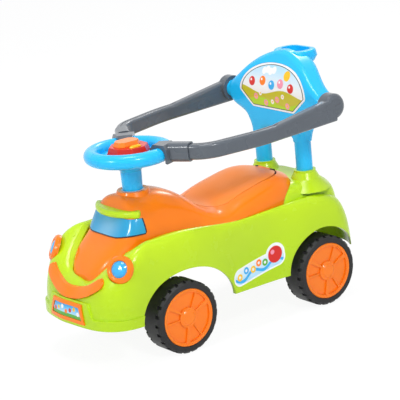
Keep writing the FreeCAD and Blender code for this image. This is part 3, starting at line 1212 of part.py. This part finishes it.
def make_screw(length):
    """Screw pointing up from the origin, head below."""
    head = Part.makeCylinder(d.screw_head, HEAD_RISE, Vector(0, 0, -HEAD_RISE))
    return Part.makeCylinder(d.screw_radius, length).fuse(head)


for spot, (x, y) in zip(("front", "middle"), cover_screw_places()):
    for side_name, side in SIDES:
        screw = make_screw(18)
        screw.translate(Vector(x, side * y, deck_under))
        feature(f"cover_screw_{spot}_{side_name}", screw)
for side_name, side in SIDES:
    screw = make_screw(SOCKET_FLOOR + 14)
    screw.translate(Vector(d.leg_x, side * d.leg_y, d.leg_foot_z - SOCKET_FLOOR))
    feature(f"backrest_screw_{side_name}", screw)

doc.recompute()
faults = [item.Name for item in doc.Objects if {"Invalid", "Error"} & set(item.State)]
faults += [piece.Label for piece in nodes if piece.Shape.isNull() or not piece.Shape.isValid()]
if faults:
    raise SystemExit(f"faulty objects: {faults}")
os.makedirs("parts", exist_ok=True)
for piece in nodes:
    piece.Shape.exportStep(f"parts/{piece.Label}.step")
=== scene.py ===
"""Looks of the ride-on push car: plastics, printed films, studio and camera. Lengths are in metres."""

import math

import bpy
from mathutils import Matrix, Vector


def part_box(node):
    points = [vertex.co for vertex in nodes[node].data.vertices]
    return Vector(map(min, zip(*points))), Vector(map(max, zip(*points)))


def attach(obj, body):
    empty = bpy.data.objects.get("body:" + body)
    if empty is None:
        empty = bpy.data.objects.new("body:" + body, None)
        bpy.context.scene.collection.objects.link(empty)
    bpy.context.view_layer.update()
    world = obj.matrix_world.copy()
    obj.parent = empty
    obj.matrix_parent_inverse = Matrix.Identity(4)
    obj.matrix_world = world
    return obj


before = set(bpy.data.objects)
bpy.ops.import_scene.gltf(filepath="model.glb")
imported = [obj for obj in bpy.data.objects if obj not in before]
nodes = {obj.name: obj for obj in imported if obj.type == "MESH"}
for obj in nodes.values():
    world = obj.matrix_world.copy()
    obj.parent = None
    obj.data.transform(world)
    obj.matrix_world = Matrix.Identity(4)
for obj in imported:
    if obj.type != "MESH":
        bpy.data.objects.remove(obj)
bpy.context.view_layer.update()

# Colours, linear.
LIME = (0.450, 0.690, 0.002)
LIME_LIGHT = (0.520, 0.760, 0.006)
ORANGE = (1.000, 0.215, 0.001)
ORANGE_LIGHT = (1.000, 0.245, 0.012)
SKY_BLUE = (0.010, 0.520, 0.980)
LENS_BLUE = (0.030, 0.420, 0.860)
SCREEN_BLUE = (0.012, 0.350, 0.660)
GREY = (0.092, 0.108, 0.130)
RED = (0.680, 0.016, 0.010)
YELLOW = (0.950, 0.560, 0.010)
TYRE_BLACK = (0.018, 0.018, 0.019)
TYRE_DUST = (0.034, 0.034, 0.036)
BIN_BLACK = (0.022, 0.022, 0.022)
BUSH_WHITE = (0.700, 0.700, 0.670)
STEEL = (0.520, 0.530, 0.550)
STEEL_LIGHT = (0.62, 0.63, 0.65)
WHITE = (0.900, 0.910, 0.900)
INK = (0.012, 0.014, 0.020)
GRASS = (0.090, 0.420, 0.030)
MEADOW = (0.560, 0.520, 0.020)
PINK = (0.880, 0.300, 0.420)
PALE_SKY = (0.420, 0.720, 0.930)

# Surface values that all the materials share.
SPECULAR_LEVEL, COAT_ROUGHNESS = 0.32, 0.06
EDGE_RADIUS = 0.0012
GRAIN_SCALE, GRAIN_DEPTH = 900.0, 0.0003
CLOUD_SCALE, CLOUD_SHADES = 9.0, (0.985, 1.015)
GLOSS_SCALE, GLOSS_DETAIL, GLOSS_SHARES = 26.0, 4.0, (0.92, 1.08)
NOISE_RANGE = (0.3, 0.7)
PRINT_SOFT = 0.0006


class Shader:
    """A principled material with small helpers for masks in the piece's own coordinates."""

    def __init__(self, name):
        self.material = bpy.data.materials.new(name)
        self.material.use_nodes = True
        self.tree = self.material.node_tree
        self.bsdf = next(n for n in self.tree.nodes if n.type == "BSDF_PRINCIPLED")
        places = self.new("ShaderNodeTexCoord")
        self.position, self.facing = places.outputs["Object"], places.outputs["Normal"]
        self.x, self.y, self.z = self.split(self.position)

    def new(self, kind, **settings):
        node = self.tree.nodes.new(kind)
        for key, value in settings.items():
            setattr(node, key, value)
        return node

    def link(self, source, target):
        self.tree.links.new(source, target)

    def feed(self, target, value):
        """Link a socket or set a constant."""
        if isinstance(value, bpy.types.NodeSocket):
            self.link(value, target)
        elif isinstance(value, tuple):
            target.default_value = (*value, 1.0)
        else:
            target.default_value = value

    def split(self, vector):
        node = self.new("ShaderNodeSeparateXYZ")
        self.link(vector, node.inputs[0])
        return tuple(node.outputs)

    def math(self, operation, first, second=0.0):
        node = self.new("ShaderNodeMath", operation=operation)
        self.feed(node.inputs[0], first)
        self.feed(node.inputs[1], second)
        return node.outputs[0]

    def minus(self, first, second):
        return self.math("SUBTRACT", first, second)

    def times(self, first, second):
        return self.math("MULTIPLY", first, second)

    def length(self, across, along):
        squares = self.math("ADD", self.times(across, across), self.times(along, along))
        return self.math("SQRT", squares)

    def ramp(self, value, low, high, start=0.0, stop=1.0):
        """start below low, stop above high, smooth between."""
        node = self.new("ShaderNodeMapRange", interpolation_type="SMOOTHSTEP")
        for socket, item in zip(node.inputs, (value, low, high, start, stop)):
            self.feed(socket, item)
        return node.outputs[0]

    def fall(self, value, low, high):
        """Mask that is full below low and empty above high."""
        return self.ramp(value, low, high, 1.0, 0.0)

    def mix(self, factor, first, second):
        node = self.new("ShaderNodeMix", data_type="RGBA")
        self.feed(node.inputs[0], factor)
        self.feed(node.inputs[6], first)
        self.feed(node.inputs[7], second)
        return node.outputs[2]

    def noise(self, scale, detail=2.0):
        node = self.new("ShaderNodeTexNoise")
        self.link(self.position, node.inputs["Vector"])
        self.feed(node.inputs["Scale"], scale)
        self.feed(node.inputs["Detail"], detail)
        return node.outputs[0]

    def within(self, value, low, high, soft):
        """Mask of a band from low to high."""
        rising = self.ramp(value, low - soft, low + soft)
        return self.times(rising, self.fall(value, high - soft, high + soft))

    def disc(self, across, along, centre, radius):
        """Mask of a round spot."""
        distance = self.length(self.minus(across, centre[0]), self.minus(along, centre[1]))
        return self.fall(distance, radius - PRINT_SOFT, radius + PRINT_SOFT)

    def finish(self, color, roughness, coat=0.0, grain=0.0, metallic=0.0):
        """Colour with a faint cloud, uneven gloss and, where asked, a fine grain."""
        shade = self.new("ShaderNodeHueSaturation")
        self.feed(shade.inputs["Color"], color)
        cloud = self.ramp(self.noise(CLOUD_SCALE), *NOISE_RANGE, *CLOUD_SHADES)
        self.link(cloud, shade.inputs["Value"])
        self.link(shade.outputs[0], self.bsdf.inputs["Base Color"])
        smooth, rough = (roughness * share for share in GLOSS_SHARES)
        gloss = self.ramp(self.noise(GLOSS_SCALE, GLOSS_DETAIL), *NOISE_RANGE, smooth, rough)
        self.link(gloss, self.bsdf.inputs["Roughness"])
        self.bsdf.inputs["Metallic"].default_value = metallic
        self.bsdf.inputs["Coat Weight"].default_value = coat
        self.bsdf.inputs["Coat Roughness"].default_value = COAT_ROUGHNESS
        self.bsdf.inputs["Specular IOR Level"].default_value = SPECULAR_LEVEL
        soft_edge = self.new("ShaderNodeBevel", samples=4)
        soft_edge.inputs["Radius"].default_value = EDGE_RADIUS
        normal = soft_edge.outputs[0]
        if grain:
            bump = self.new("ShaderNodeBump")
            bump.inputs["Strength"].default_value = grain
            bump.inputs["Distance"].default_value = GRAIN_DEPTH
            self.link(self.noise(GRAIN_SCALE, 3.0), bump.inputs["Height"])
            self.link(normal, bump.inputs["Normal"])
            normal = bump.outputs[0]
        self.link(normal, self.bsdf.inputs["Normal"])
        return self.material


def plastic(name, color, roughness=0.25, coat=0.15, grain=0.0):
    return Shader(name).finish(color, roughness, coat, grain)


def dress(material, *names):
    for name in names:
        mesh = nodes[name].data
        mesh.materials.clear()
        mesh.materials.append(material)


# Backrest label: width of its foot as a share of the widest, height of the widest place, and the
# length that stands for one unit of the oval top.
LABEL_FOOT, LABEL_WIDEST_Z, LABEL_DOME = 0.62, 0.423, 0.075
LABEL_INK, LABEL_BORDER = (0.0052, 0.0057), (0.0036, 0.0041)
SKY_DROP, HILL_DROP, LAWN_DROP = 0.010, 0.010, 0.030
WAVE_RATE, WAVE_HEIGHT = 46.0, 0.006
CLOUD_RADIUS, SUN_RADIUS = 0.007, 0.010
BALL_RADIUS, GLINT_RADIUS, GLINT_SHIFT = 0.0095, 0.0025, 0.003
# Balls: place across as a share of the half width, height above the middle, colour.
LABEL_BALLS = (
    (-0.62, 0.006, RED),
    (-0.30, 0.010, ORANGE),
    (-0.02, 0.004, LENS_BLUE),
    (0.24, 0.009, PINK),
    (0.55, 0.003, RED),
)
# Rows of flowers: places across, drop of the row, drop of every second flower, radius, petals.
LABEL_FLOWERS = (
    ((-0.5, -0.2, 0.15, 0.45), 0.024, 0.010, 0.0065, PINK),
    ((-0.36, 0.0, 0.32), 0.016, 0.014, 0.0048, WHITE),
)
FLOWER_HEART = 0.42


def label_edge(shader, low, high):
    """Distance inwards from the label's outline: a flat foot, sloping sides and an oval top."""
    y, z = shader.math("ABSOLUTE", shader.y), shader.z
    half, foot_half = high[1], high[1] * LABEL_FOOT
    run, rise = half - foot_half, LABEL_WIDEST_Z - low[2]
    foot = shader.minus(z, low[2])
    slope = shader.minus(shader.times(foot, run), shader.times(shader.minus(y, foot_half), rise))
    slope = shader.math("DIVIDE", slope, math.hypot(run, rise))
    across = shader.math("DIVIDE", y, half)
    along = shader.math("DIVIDE", shader.minus(z, LABEL_WIDEST_Z), high[2] - LABEL_WIDEST_Z)
    dome = shader.times(shader.minus(1.0, shader.length(across, along)), LABEL_DOME)
    dome = shader.math("ADD", dome, shader.fall(z, LABEL_WIDEST_Z - 0.001, LABEL_WIDEST_Z))
    return shader.math("MINIMUM", shader.math("MINIMUM", foot, slope), dome)


def backrest_print():
    """Meadow under a pale sky with coloured balls, a white border and a dark line."""
    shader = Shader("backrest_print")
    low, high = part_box("backrest_label")
    middle_z, half_y = (low[2] + high[2]) / 2, high[1]
    y, z = shader.y, shader.z

    def spot(color, place, radius, tint):
        return shader.mix(shader.disc(y, z, place, radius), color, tint)

    color = shader.mix(shader.ramp(z, middle_z - SKY_DROP, high[2]), WHITE, PALE_SKY)
    wave = shader.times(shader.math("SINE", shader.times(y, WAVE_RATE)), WAVE_HEIGHT)
    hill = shader.minus(shader.minus(z, middle_z - HILL_DROP), wave)
    color = shader.mix(shader.fall(hill, -PRINT_SOFT, PRINT_SOFT), color, MEADOW)
    lawn = shader.math("ADD", shader.minus(z, middle_z - LAWN_DROP), wave)
    color = shader.mix(shader.fall(lawn, -PRINT_SOFT, PRINT_SOFT), color, LIME)
    color = spot(color, (half_y * 0.40, middle_z + 0.026), SUN_RADIUS, YELLOW)
    for step in range(4):
        cloud = (-half_y * 0.30 + step * 0.010, middle_z + 0.030 + 0.003 * (step % 2))
        color = spot(color, cloud, CLOUD_RADIUS, WHITE)
    for across, lift, tint in LABEL_BALLS:
        place = (half_y * across, middle_z + lift)
        color = spot(color, place, BALL_RADIUS, tint)
        color = spot(color, (place[0] - GLINT_SHIFT, place[1] + GLINT_SHIFT), GLINT_RADIUS, WHITE)
    for row, drop, second_drop, radius, petal in LABEL_FLOWERS:
        for index, across in enumerate(row):
            place = (half_y * across, middle_z - drop - second_drop * (index % 2))
            color = spot(color, place, radius, petal)
            color = spot(color, place, radius * FLOWER_HEART, YELLOW)
    edge = label_edge(shader, low, high)
    color = shader.mix(shader.fall(edge, *LABEL_INK), color, INK)
    color = shader.mix(shader.fall(edge, *LABEL_BORDER), color, WHITE)
    return shader.finish(color, 0.3, 0.2)


PLATE_DOTS, PLATE_DOT_RADIUS = (RED, YELLOW, WHITE, ORANGE, RED, YELLOW, WHITE), 0.0042


def plate_print():
    """Sky over grass with coloured dots."""
    shader = Shader("plate_print")
    low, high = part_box("plate_panel")
    span_y, rise = high[1] - low[1], high[2] - low[2]
    y, z = shader.y, shader.z
    color = shader.mix(shader.ramp(z, low[2] + rise * 0.2, high[2]), PALE_SKY, LENS_BLUE)
    lawn = shader.fall(z, low[2] + rise * 0.26, low[2] + rise * 0.34)
    color = shader.mix(lawn, color, GRASS)
    for index, tint in enumerate(PLATE_DOTS):
        across, up = (index + 1) / (len(PLATE_DOTS) + 1), 0.42 + 0.16 * (index % 3)
        place = (low[1] + span_y * across, low[2] + rise * up)
        color = shader.mix(shader.disc(y, z, place, PLATE_DOT_RADIUS), color, tint)
    return shader.finish(color, 0.3, 0.3)


STREAK_Y, STREAK_HALF, STREAK_STRENGTH = 0.004, 0.050, 0.4
FOOT_RISE, FOOT_LINE, END_LINE = 0.0045, (0.0012, 0.0018), (0.0022, 0.0030)


def windscreen_print():
    """Graded blue with a dark line along its foot and ends."""
    shader = Shader("windscreen_print")
    low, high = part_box("windscreen")
    reach = high[1]
    off_streak = shader.math("ABSOLUTE", shader.minus(shader.y, STREAK_Y))
    streak = shader.ramp(off_streak, 0.0, STREAK_HALF, STREAK_STRENGTH, 0.0)
    color = shader.mix(streak, SCREEN_BLUE, PALE_SKY)
    color = shader.mix(shader.ramp(shader.z, low[2] + 0.012, high[2], 0.0, 0.7), color, SCREEN_BLUE)
    bow = shader.ramp(shader.math("ABSOLUTE", shader.y), reach * 0.45, reach, 0.0, FOOT_RISE)
    foot = shader.minus(shader.minus(shader.z, low[2]), bow)
    color = shader.mix(shader.fall(foot, *FOOT_LINE), color, INK)
    ends = shader.fall(shader.x, low[0] + END_LINE[0], low[0] + END_LINE[1])
    color = shader.mix(ends, color, INK)
    return shader.finish(color, 0.2, 0.3)


# Side film: its place, its slope along the car, and the round swelling at its rear end.
FILM_X, FILM_Z, FILM_SLOPE = (-0.122, 0.006), (0.102, 0.146), 0.16
FILM_END, FILM_HALF, FILM_DROP, FILM_BORDER = 0.014, (0.0135, 0.0141), 0.004, 0.003
SWELLING_RADIUS, SWELLING_IN, SWELLING_LIFT = 0.0195, 0.020, 0.004
RED_BALL_RADIUS, SHINE_RADIUS, SHINE_SHIFT = 0.0165, 0.0045, (0.005, 0.006)
RIBBON_RATE, RIBBON_HEIGHT, RIBBON_DROPS = 110.0, 0.005, (0.012, 0.006)
RING_RADIUS, RING_HOLE = 0.0068, 0.0028
# Rings: place along as a share of the half length, height above the middle, colour.
FILM_RINGS = (
    (0.80, -0.004, YELLOW),
    (0.50, 0.002, LENS_BLUE),
    (0.22, -0.003, YELLOW),
    (-0.04, 0.003, ORANGE),
    (-0.28, -0.002, GRASS),
)


def body_paint():
    """Lime plastic with painted shade low down and painted light high up, and a printed film on each
    side, between the wheels.
    """
    shader = Shader("body_lime")
    x, z = shader.x, shader.z
    # Painted light and shade: the lime goes from darker low down to lighter high up.
    color = shader.mix(shader.ramp(z, 0.09, 0.23), LIME, LIME_LIGHT)
    middle = tuple((low + high) / 2 for low, high in (FILM_X, FILM_Z))
    half = tuple((high - low) / 2 for low, high in (FILM_X, FILM_Z))
    outwards = shader.times(shader.y, shader.split(shader.facing)[1])
    on_side = shader.ramp(outwards, 0.060, 0.062)
    from_middle = shader.minus(x, middle[0])
    level = shader.math("ADD", z, shader.times(from_middle, FILM_SLOPE))
    ball = (middle[0] - half[0] + SWELLING_IN, middle[1] + SWELLING_LIFT)

    def patch(grow):
        """Film with round ends and a swelling at its rear end."""
        beyond = shader.minus(shader.math("ABSOLUTE", from_middle), half[0] - FILM_END)
        beyond = shader.math("MAXIMUM", beyond, 0.0)
        height = shader.minus(level, middle[1] - FILM_DROP)
        run = shader.fall(shader.length(beyond, height), FILM_HALF[0] + grow, FILM_HALF[1] + grow)
        swelling = shader.disc(x, level, ball, SWELLING_RADIUS + grow)
        return shader.times(shader.math("MAXIMUM", run, swelling), on_side)

    film = shader.mix(shader.ramp(level, middle[1] - half[1], middle[1] + half[1]), PALE_SKY, WHITE)
    wave = shader.times(shader.math("SINE", shader.times(x, RIBBON_RATE)), RIBBON_HEIGHT)
    low, high = (middle[1] - drop for drop in RIBBON_DROPS)
    film = shader.mix(shader.within(shader.minus(level, wave), low, high, 0.0005), film, LENS_BLUE)
    for along, lift, tint in FILM_RINGS:
        place = (middle[0] + half[0] * along, middle[1] + lift)
        film = shader.mix(shader.disc(x, level, place, RING_RADIUS), film, tint)
        film = shader.mix(shader.disc(x, level, place, RING_HOLE), film, WHITE)
    film = shader.mix(shader.disc(x, level, ball, RED_BALL_RADIUS), film, RED)
    shine = (ball[0] + SHINE_SHIFT[0], ball[1] + SHINE_SHIFT[1])
    film = shader.mix(shader.disc(x, level, shine, SHINE_RADIUS), film, PINK)
    color = shader.mix(patch(FILM_BORDER), color, WHITE)
    color = shader.mix(patch(0.0), color, film)
    return shader.finish(color, 0.26, 0.2)


# Film on the steering wheel's web: its ring, the height above which it lies, and its dots.
WEB_RING, WEB_SOFT, WEB_Z = (0.0475, 0.0585), 0.0004, (0.374, 0.3742)
WEB_DOTS, WEB_DOT_PITCH, WEB_DOT_AHEAD, WEB_DOT_RADIUS = (RED, YELLOW, ORANGE), 0.014, 0.052, 0.0032


def wheel_paint():
    """Blue plastic, with a pale film on the steering wheel's front web."""
    shader = Shader("steering_blue")
    low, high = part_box("steering_wheel")
    centre_x = (low[0] + high[0]) / 2
    ahead = shader.minus(shader.x, centre_x)
    radius = shader.length(ahead, shader.y)
    front = shader.ramp(shader.math("DIVIDE", ahead, radius), 0.80, 0.81)
    area = shader.times(shader.within(radius, *WEB_RING, WEB_SOFT), front)
    area = shader.times(area, shader.ramp(shader.z, *WEB_Z))
    film = shader.mix(shader.ramp(ahead, 0.046, 0.058), PALE_SKY, WHITE)
    for index, tint in enumerate(WEB_DOTS):
        place = (WEB_DOT_PITCH * (index - 1), centre_x + WEB_DOT_AHEAD)
        film = shader.mix(shader.disc(shader.y, shader.x, place, WEB_DOT_RADIUS), film, tint)
    return shader.finish(shader.mix(area, SKY_BLUE, film), 0.28, 0.25)


def tyre_rubber():
    shader = Shader("tyre_black")
    dust = shader.ramp(shader.noise(60.0, 5.0), 0.35, 0.75, 0.0, 0.35)
    return shader.finish(shader.mix(dust, TYRE_BLACK, TYRE_DUST), 0.5, grain=0.25)


def bright_steel():
    shader = Shader("bright_steel")
    streaks = shader.ramp(shader.noise(220.0, 3.0), *NOISE_RANGE)
    return shader.finish(shader.mix(streaks, STEEL, STEEL_LIGHT), 0.3, metallic=1.0)


SIDES, ENDS = ("left", "right"), ("front", "rear")
wheel_names = [f"{end}_{side}" for end in ENDS for side in SIDES]
lime = body_paint()
dress(lime, "body_shell")
dress(plastic("visor_lime", LIME_LIGHT), "sun_visor")
dress(plastic("orange", ORANGE), "top_cover", "grille_trim", "plate_frame",
      *(f"headlight_ring_{side}" for side in SIDES))
# The seat lid is the top cover's orange plastic in a lighter copy, which is a painted highlight.
dress(plastic("seat_orange_lit", ORANGE_LIGHT, 0.34, 0.15), "seat_lid")
dress(plastic("disc_orange", ORANGE, 0.3, 0.2), *(f"{name}_disc" for name in wheel_names))
dress(plastic("horn_orange", ORANGE_LIGHT, 0.25, 0.3), "horn_button")
dress(plastic("backrest_blue", SKY_BLUE), "backrest")
dress(wheel_paint(), "steering_wheel")
dress(plastic("lens_blue", LENS_BLUE, 0.15, 0.6), *(f"headlight_lens_{side}" for side in SIDES))
dress(plastic("grey", GREY, 0.28, 0.45, grain=0.06),
      *(f"{part}_{side}" for part in ("guard_arm", "arm_clip") for side in SIDES))
dress(plastic("red", RED), "horn_housing")
dress(plastic("yellow", YELLOW), "tune_button")
dress(windscreen_print(), "windscreen")
dress(backrest_print(), "backrest_label")
dress(plate_print(), "plate_panel")
dress(plastic("bin_black", BIN_BLACK, 0.55, 0.0, grain=0.2), "storage_bin", "axle_carrier")
dress(tyre_rubber(), *(f"{name}_tyre" for name in wheel_names))
dress(plastic("bush_white", BUSH_WHITE, 0.4, 0.0), "lower_bush", "upper_bush",
      *(f"rear_{side}_bush" for side in SIDES))
dress(bright_steel(), *(name for name in nodes if "screw" in name or "push_nut" in name),
      "front_axle", "rear_axle", "steering_rod", "seat_hinge_pin")


# The body shell has a slot beside the bonnet, between its tray and its mudguard. A thin wall of the
# scene's own closes it to the eye: place along the car, then the low and the high edge as distance
# from the middle and height.
SEAM_WALL = (
    (0.104, (0.0945, 0.205), (0.0965, 0.2310)),
    (0.140, (0.0925, 0.208), (0.0960, 0.2330)),
    (0.170, (0.0885, 0.206), (0.0960, 0.2325)),
    (0.200, (0.0795, 0.190), (0.0930, 0.2260)),
    (0.232, (0.0715, 0.178), (0.0900, 0.2185)),
)
SEAM_THICKNESS = 0.002


def make_seam_wall(name, side):
    """Closed strip through the stations, on one side of the car."""
    points, faces = [], []
    for x, low, high in SEAM_WALL:
        for (y, z), out in ((low, 0.0), (high, 0.0), (high, SEAM_THICKNESS), (low, SEAM_THICKNESS)):
            points.append((x, side * (y + out), z))
    for start in range(0, len(points) - 4, 4):
        for corner in range(4):
            turn = (corner + 1) % 4
            faces.append((start + corner, start + turn, start + 4 + turn, start + 4 + corner))
    last = len(points) - 4
    faces += [(3, 2, 1, 0), (last, last + 1, last + 2, last + 3)]
    if side < 0:
        faces = [face[::-1] for face in faces]
    mesh = bpy.data.meshes.new(name)
    mesh.from_pydata(points, [], faces)
    mesh.materials.append(lime)
    wall = bpy.data.objects.new(name, mesh)
    bpy.context.scene.collection.objects.link(wall)
    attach(wall, "root")


make_seam_wall("seam_wall_left", 1)
make_seam_wall("seam_wall_right", -1)


# Studio: a floor and a world that look white, soft lights, and the photograph's camera.
FLOOR_HALF, FLOOR_ROUGHNESS = 14.0, 0.9
FLOOR_SHADES = (0.90, 0.90, 0.90), (0.92, 0.92, 0.92)
FLOOR_LIFT, FLOOR_GLOW = 0.88, 1.05
WORLD_STRENGTH, WORLD_TINT = 0.46, (0.95, 0.97, 1.0, 1.0)
LIGHT_AIM = Vector((0, 0, 0.22))


def backdrop_rays(tree):
    """Mask of the rays that see the backdrop: straight, mirrored or through a clear piece."""
    path = tree.nodes.new("ShaderNodeLightPath")
    mask = path.outputs["Is Camera Ray"]
    for kind in ("Is Glossy Ray", "Is Transmission Ray"):
        wider = tree.nodes.new("ShaderNodeMath")
        wider.operation = "MAXIMUM"
        tree.links.new(mask, wider.inputs[0])
        tree.links.new(path.outputs[kind], wider.inputs[1])
        mask = wider.outputs[0]
    return mask


def floor_material():
    """White floor: a plain diffuse surface that those rays see lifted towards white, shadow kept."""
    shader = Shader("studio_white")
    tree = shader.tree
    shader.bsdf.inputs["Roughness"].default_value = FLOOR_ROUGHNESS
    shader.feed(shader.bsdf.inputs["Base Color"], shader.mix(shader.noise(2.0), *FLOOR_SHADES))
    glow = shader.new("ShaderNodeEmission")
    shader.feed(glow.inputs["Strength"], FLOOR_GLOW)
    blend = shader.new("ShaderNodeMixShader")
    shader.link(shader.times(backdrop_rays(tree), FLOOR_LIFT), blend.inputs[0])
    shader.link(shader.bsdf.outputs[0], blend.inputs[1])
    shader.link(glow.outputs[0], blend.inputs[2])
    output = next(n for n in tree.nodes if n.type == "OUTPUT_MATERIAL")
    shader.link(blend.outputs[0], output.inputs["Surface"])
    return shader.material


def make_floor():
    mesh = bpy.data.meshes.new("studio_floor")
    corners = [(x * FLOOR_HALF, y * FLOOR_HALF, 0) for x, y in ((-1, -1), (1, -1), (1, 1), (-1, 1))]
    mesh.from_pydata(corners, [], [(0, 1, 2, 3)])
    floor = bpy.data.objects.new("studio_floor", mesh)
    mesh.materials.append(floor_material())
    bpy.context.scene.collection.objects.link(floor)


def make_light(name, place, width, power):
    lamp = bpy.data.lights.new(name, "AREA")
    lamp.shape, lamp.size, lamp.energy = "DISK", width, power
    light = bpy.data.objects.new(name, lamp)
    bpy.context.scene.collection.objects.link(light)
    aim = LIGHT_AIM - Vector(place)
    light.matrix_world = Matrix.Translation(place) @ aim.to_track_quat("-Z", "Y").to_matrix().to_4x4()


def make_world():
    world = bpy.data.worlds.new("studio")
    world.use_nodes = True
    tree = world.node_tree
    background = next(n for n in tree.nodes if n.type == "BACKGROUND")
    background.inputs["Strength"].default_value = WORLD_STRENGTH
    lit = tree.nodes.new("ShaderNodeMix")
    lit.data_type = "RGBA"
    tree.links.new(backdrop_rays(tree), lit.inputs[0])
    lit.inputs[6].default_value = WORLD_TINT
    lit.inputs[7].default_value = (1 / WORLD_STRENGTH, 1 / WORLD_STRENGTH, 1 / WORLD_STRENGTH, 1.0)
    tree.links.new(lit.outputs[2], background.inputs["Color"])
    bpy.context.scene.world = world


CAMERA_PLACE = Vector((2.0486, 2.8905, 1.2470))
CAMERA_AZIMUTH, CAMERA_RISE, CAMERA_ROLL = (math.radians(angle) for angle in (144.44, 15.71, -5.47))
CAMERA_LENS, SENSOR_WIDTH, CAMERA_FAR = 165.8, 36.0, 60.0


def make_camera():
    """Camera fitted to the photograph's wheels and body."""
    backward = Vector((math.sin(CAMERA_AZIMUTH) * math.cos(CAMERA_RISE),
                       -math.cos(CAMERA_AZIMUTH) * math.cos(CAMERA_RISE), math.sin(CAMERA_RISE)))
    right = Vector((0, 0, 1)).cross(backward).normalized()
    up = backward.cross(right)
    turn = Matrix.Rotation(CAMERA_ROLL, 3, backward)
    right, up = turn @ right, turn @ up
    axes = Matrix((right, up, backward)).transposed().to_4x4()
    data = bpy.data.cameras.new("camera")
    data.lens, data.sensor_width = CAMERA_LENS, SENSOR_WIDTH
    data.clip_end = CAMERA_FAR
    camera = bpy.data.objects.new("camera", data)
    camera.matrix_world = Matrix.Translation(CAMERA_PLACE) @ axes
    bpy.context.scene.collection.objects.link(camera)
    bpy.context.scene.camera = camera


make_floor()
make_world()
make_light("key", (0.5, 2.3, 2.2), 0.6, 33.0)
make_light("top", (0.2, 0.1, 3.0), 1.0, 27.0)
make_light("front", (2.8, 0.3, 1.6), 0.5, 24.0)
make_light("back", (-2.2, -1.6, 2.4), 0.8, 18.0)
make_camera()
bpy.context.scene.view_settings.view_transform = "Standard"
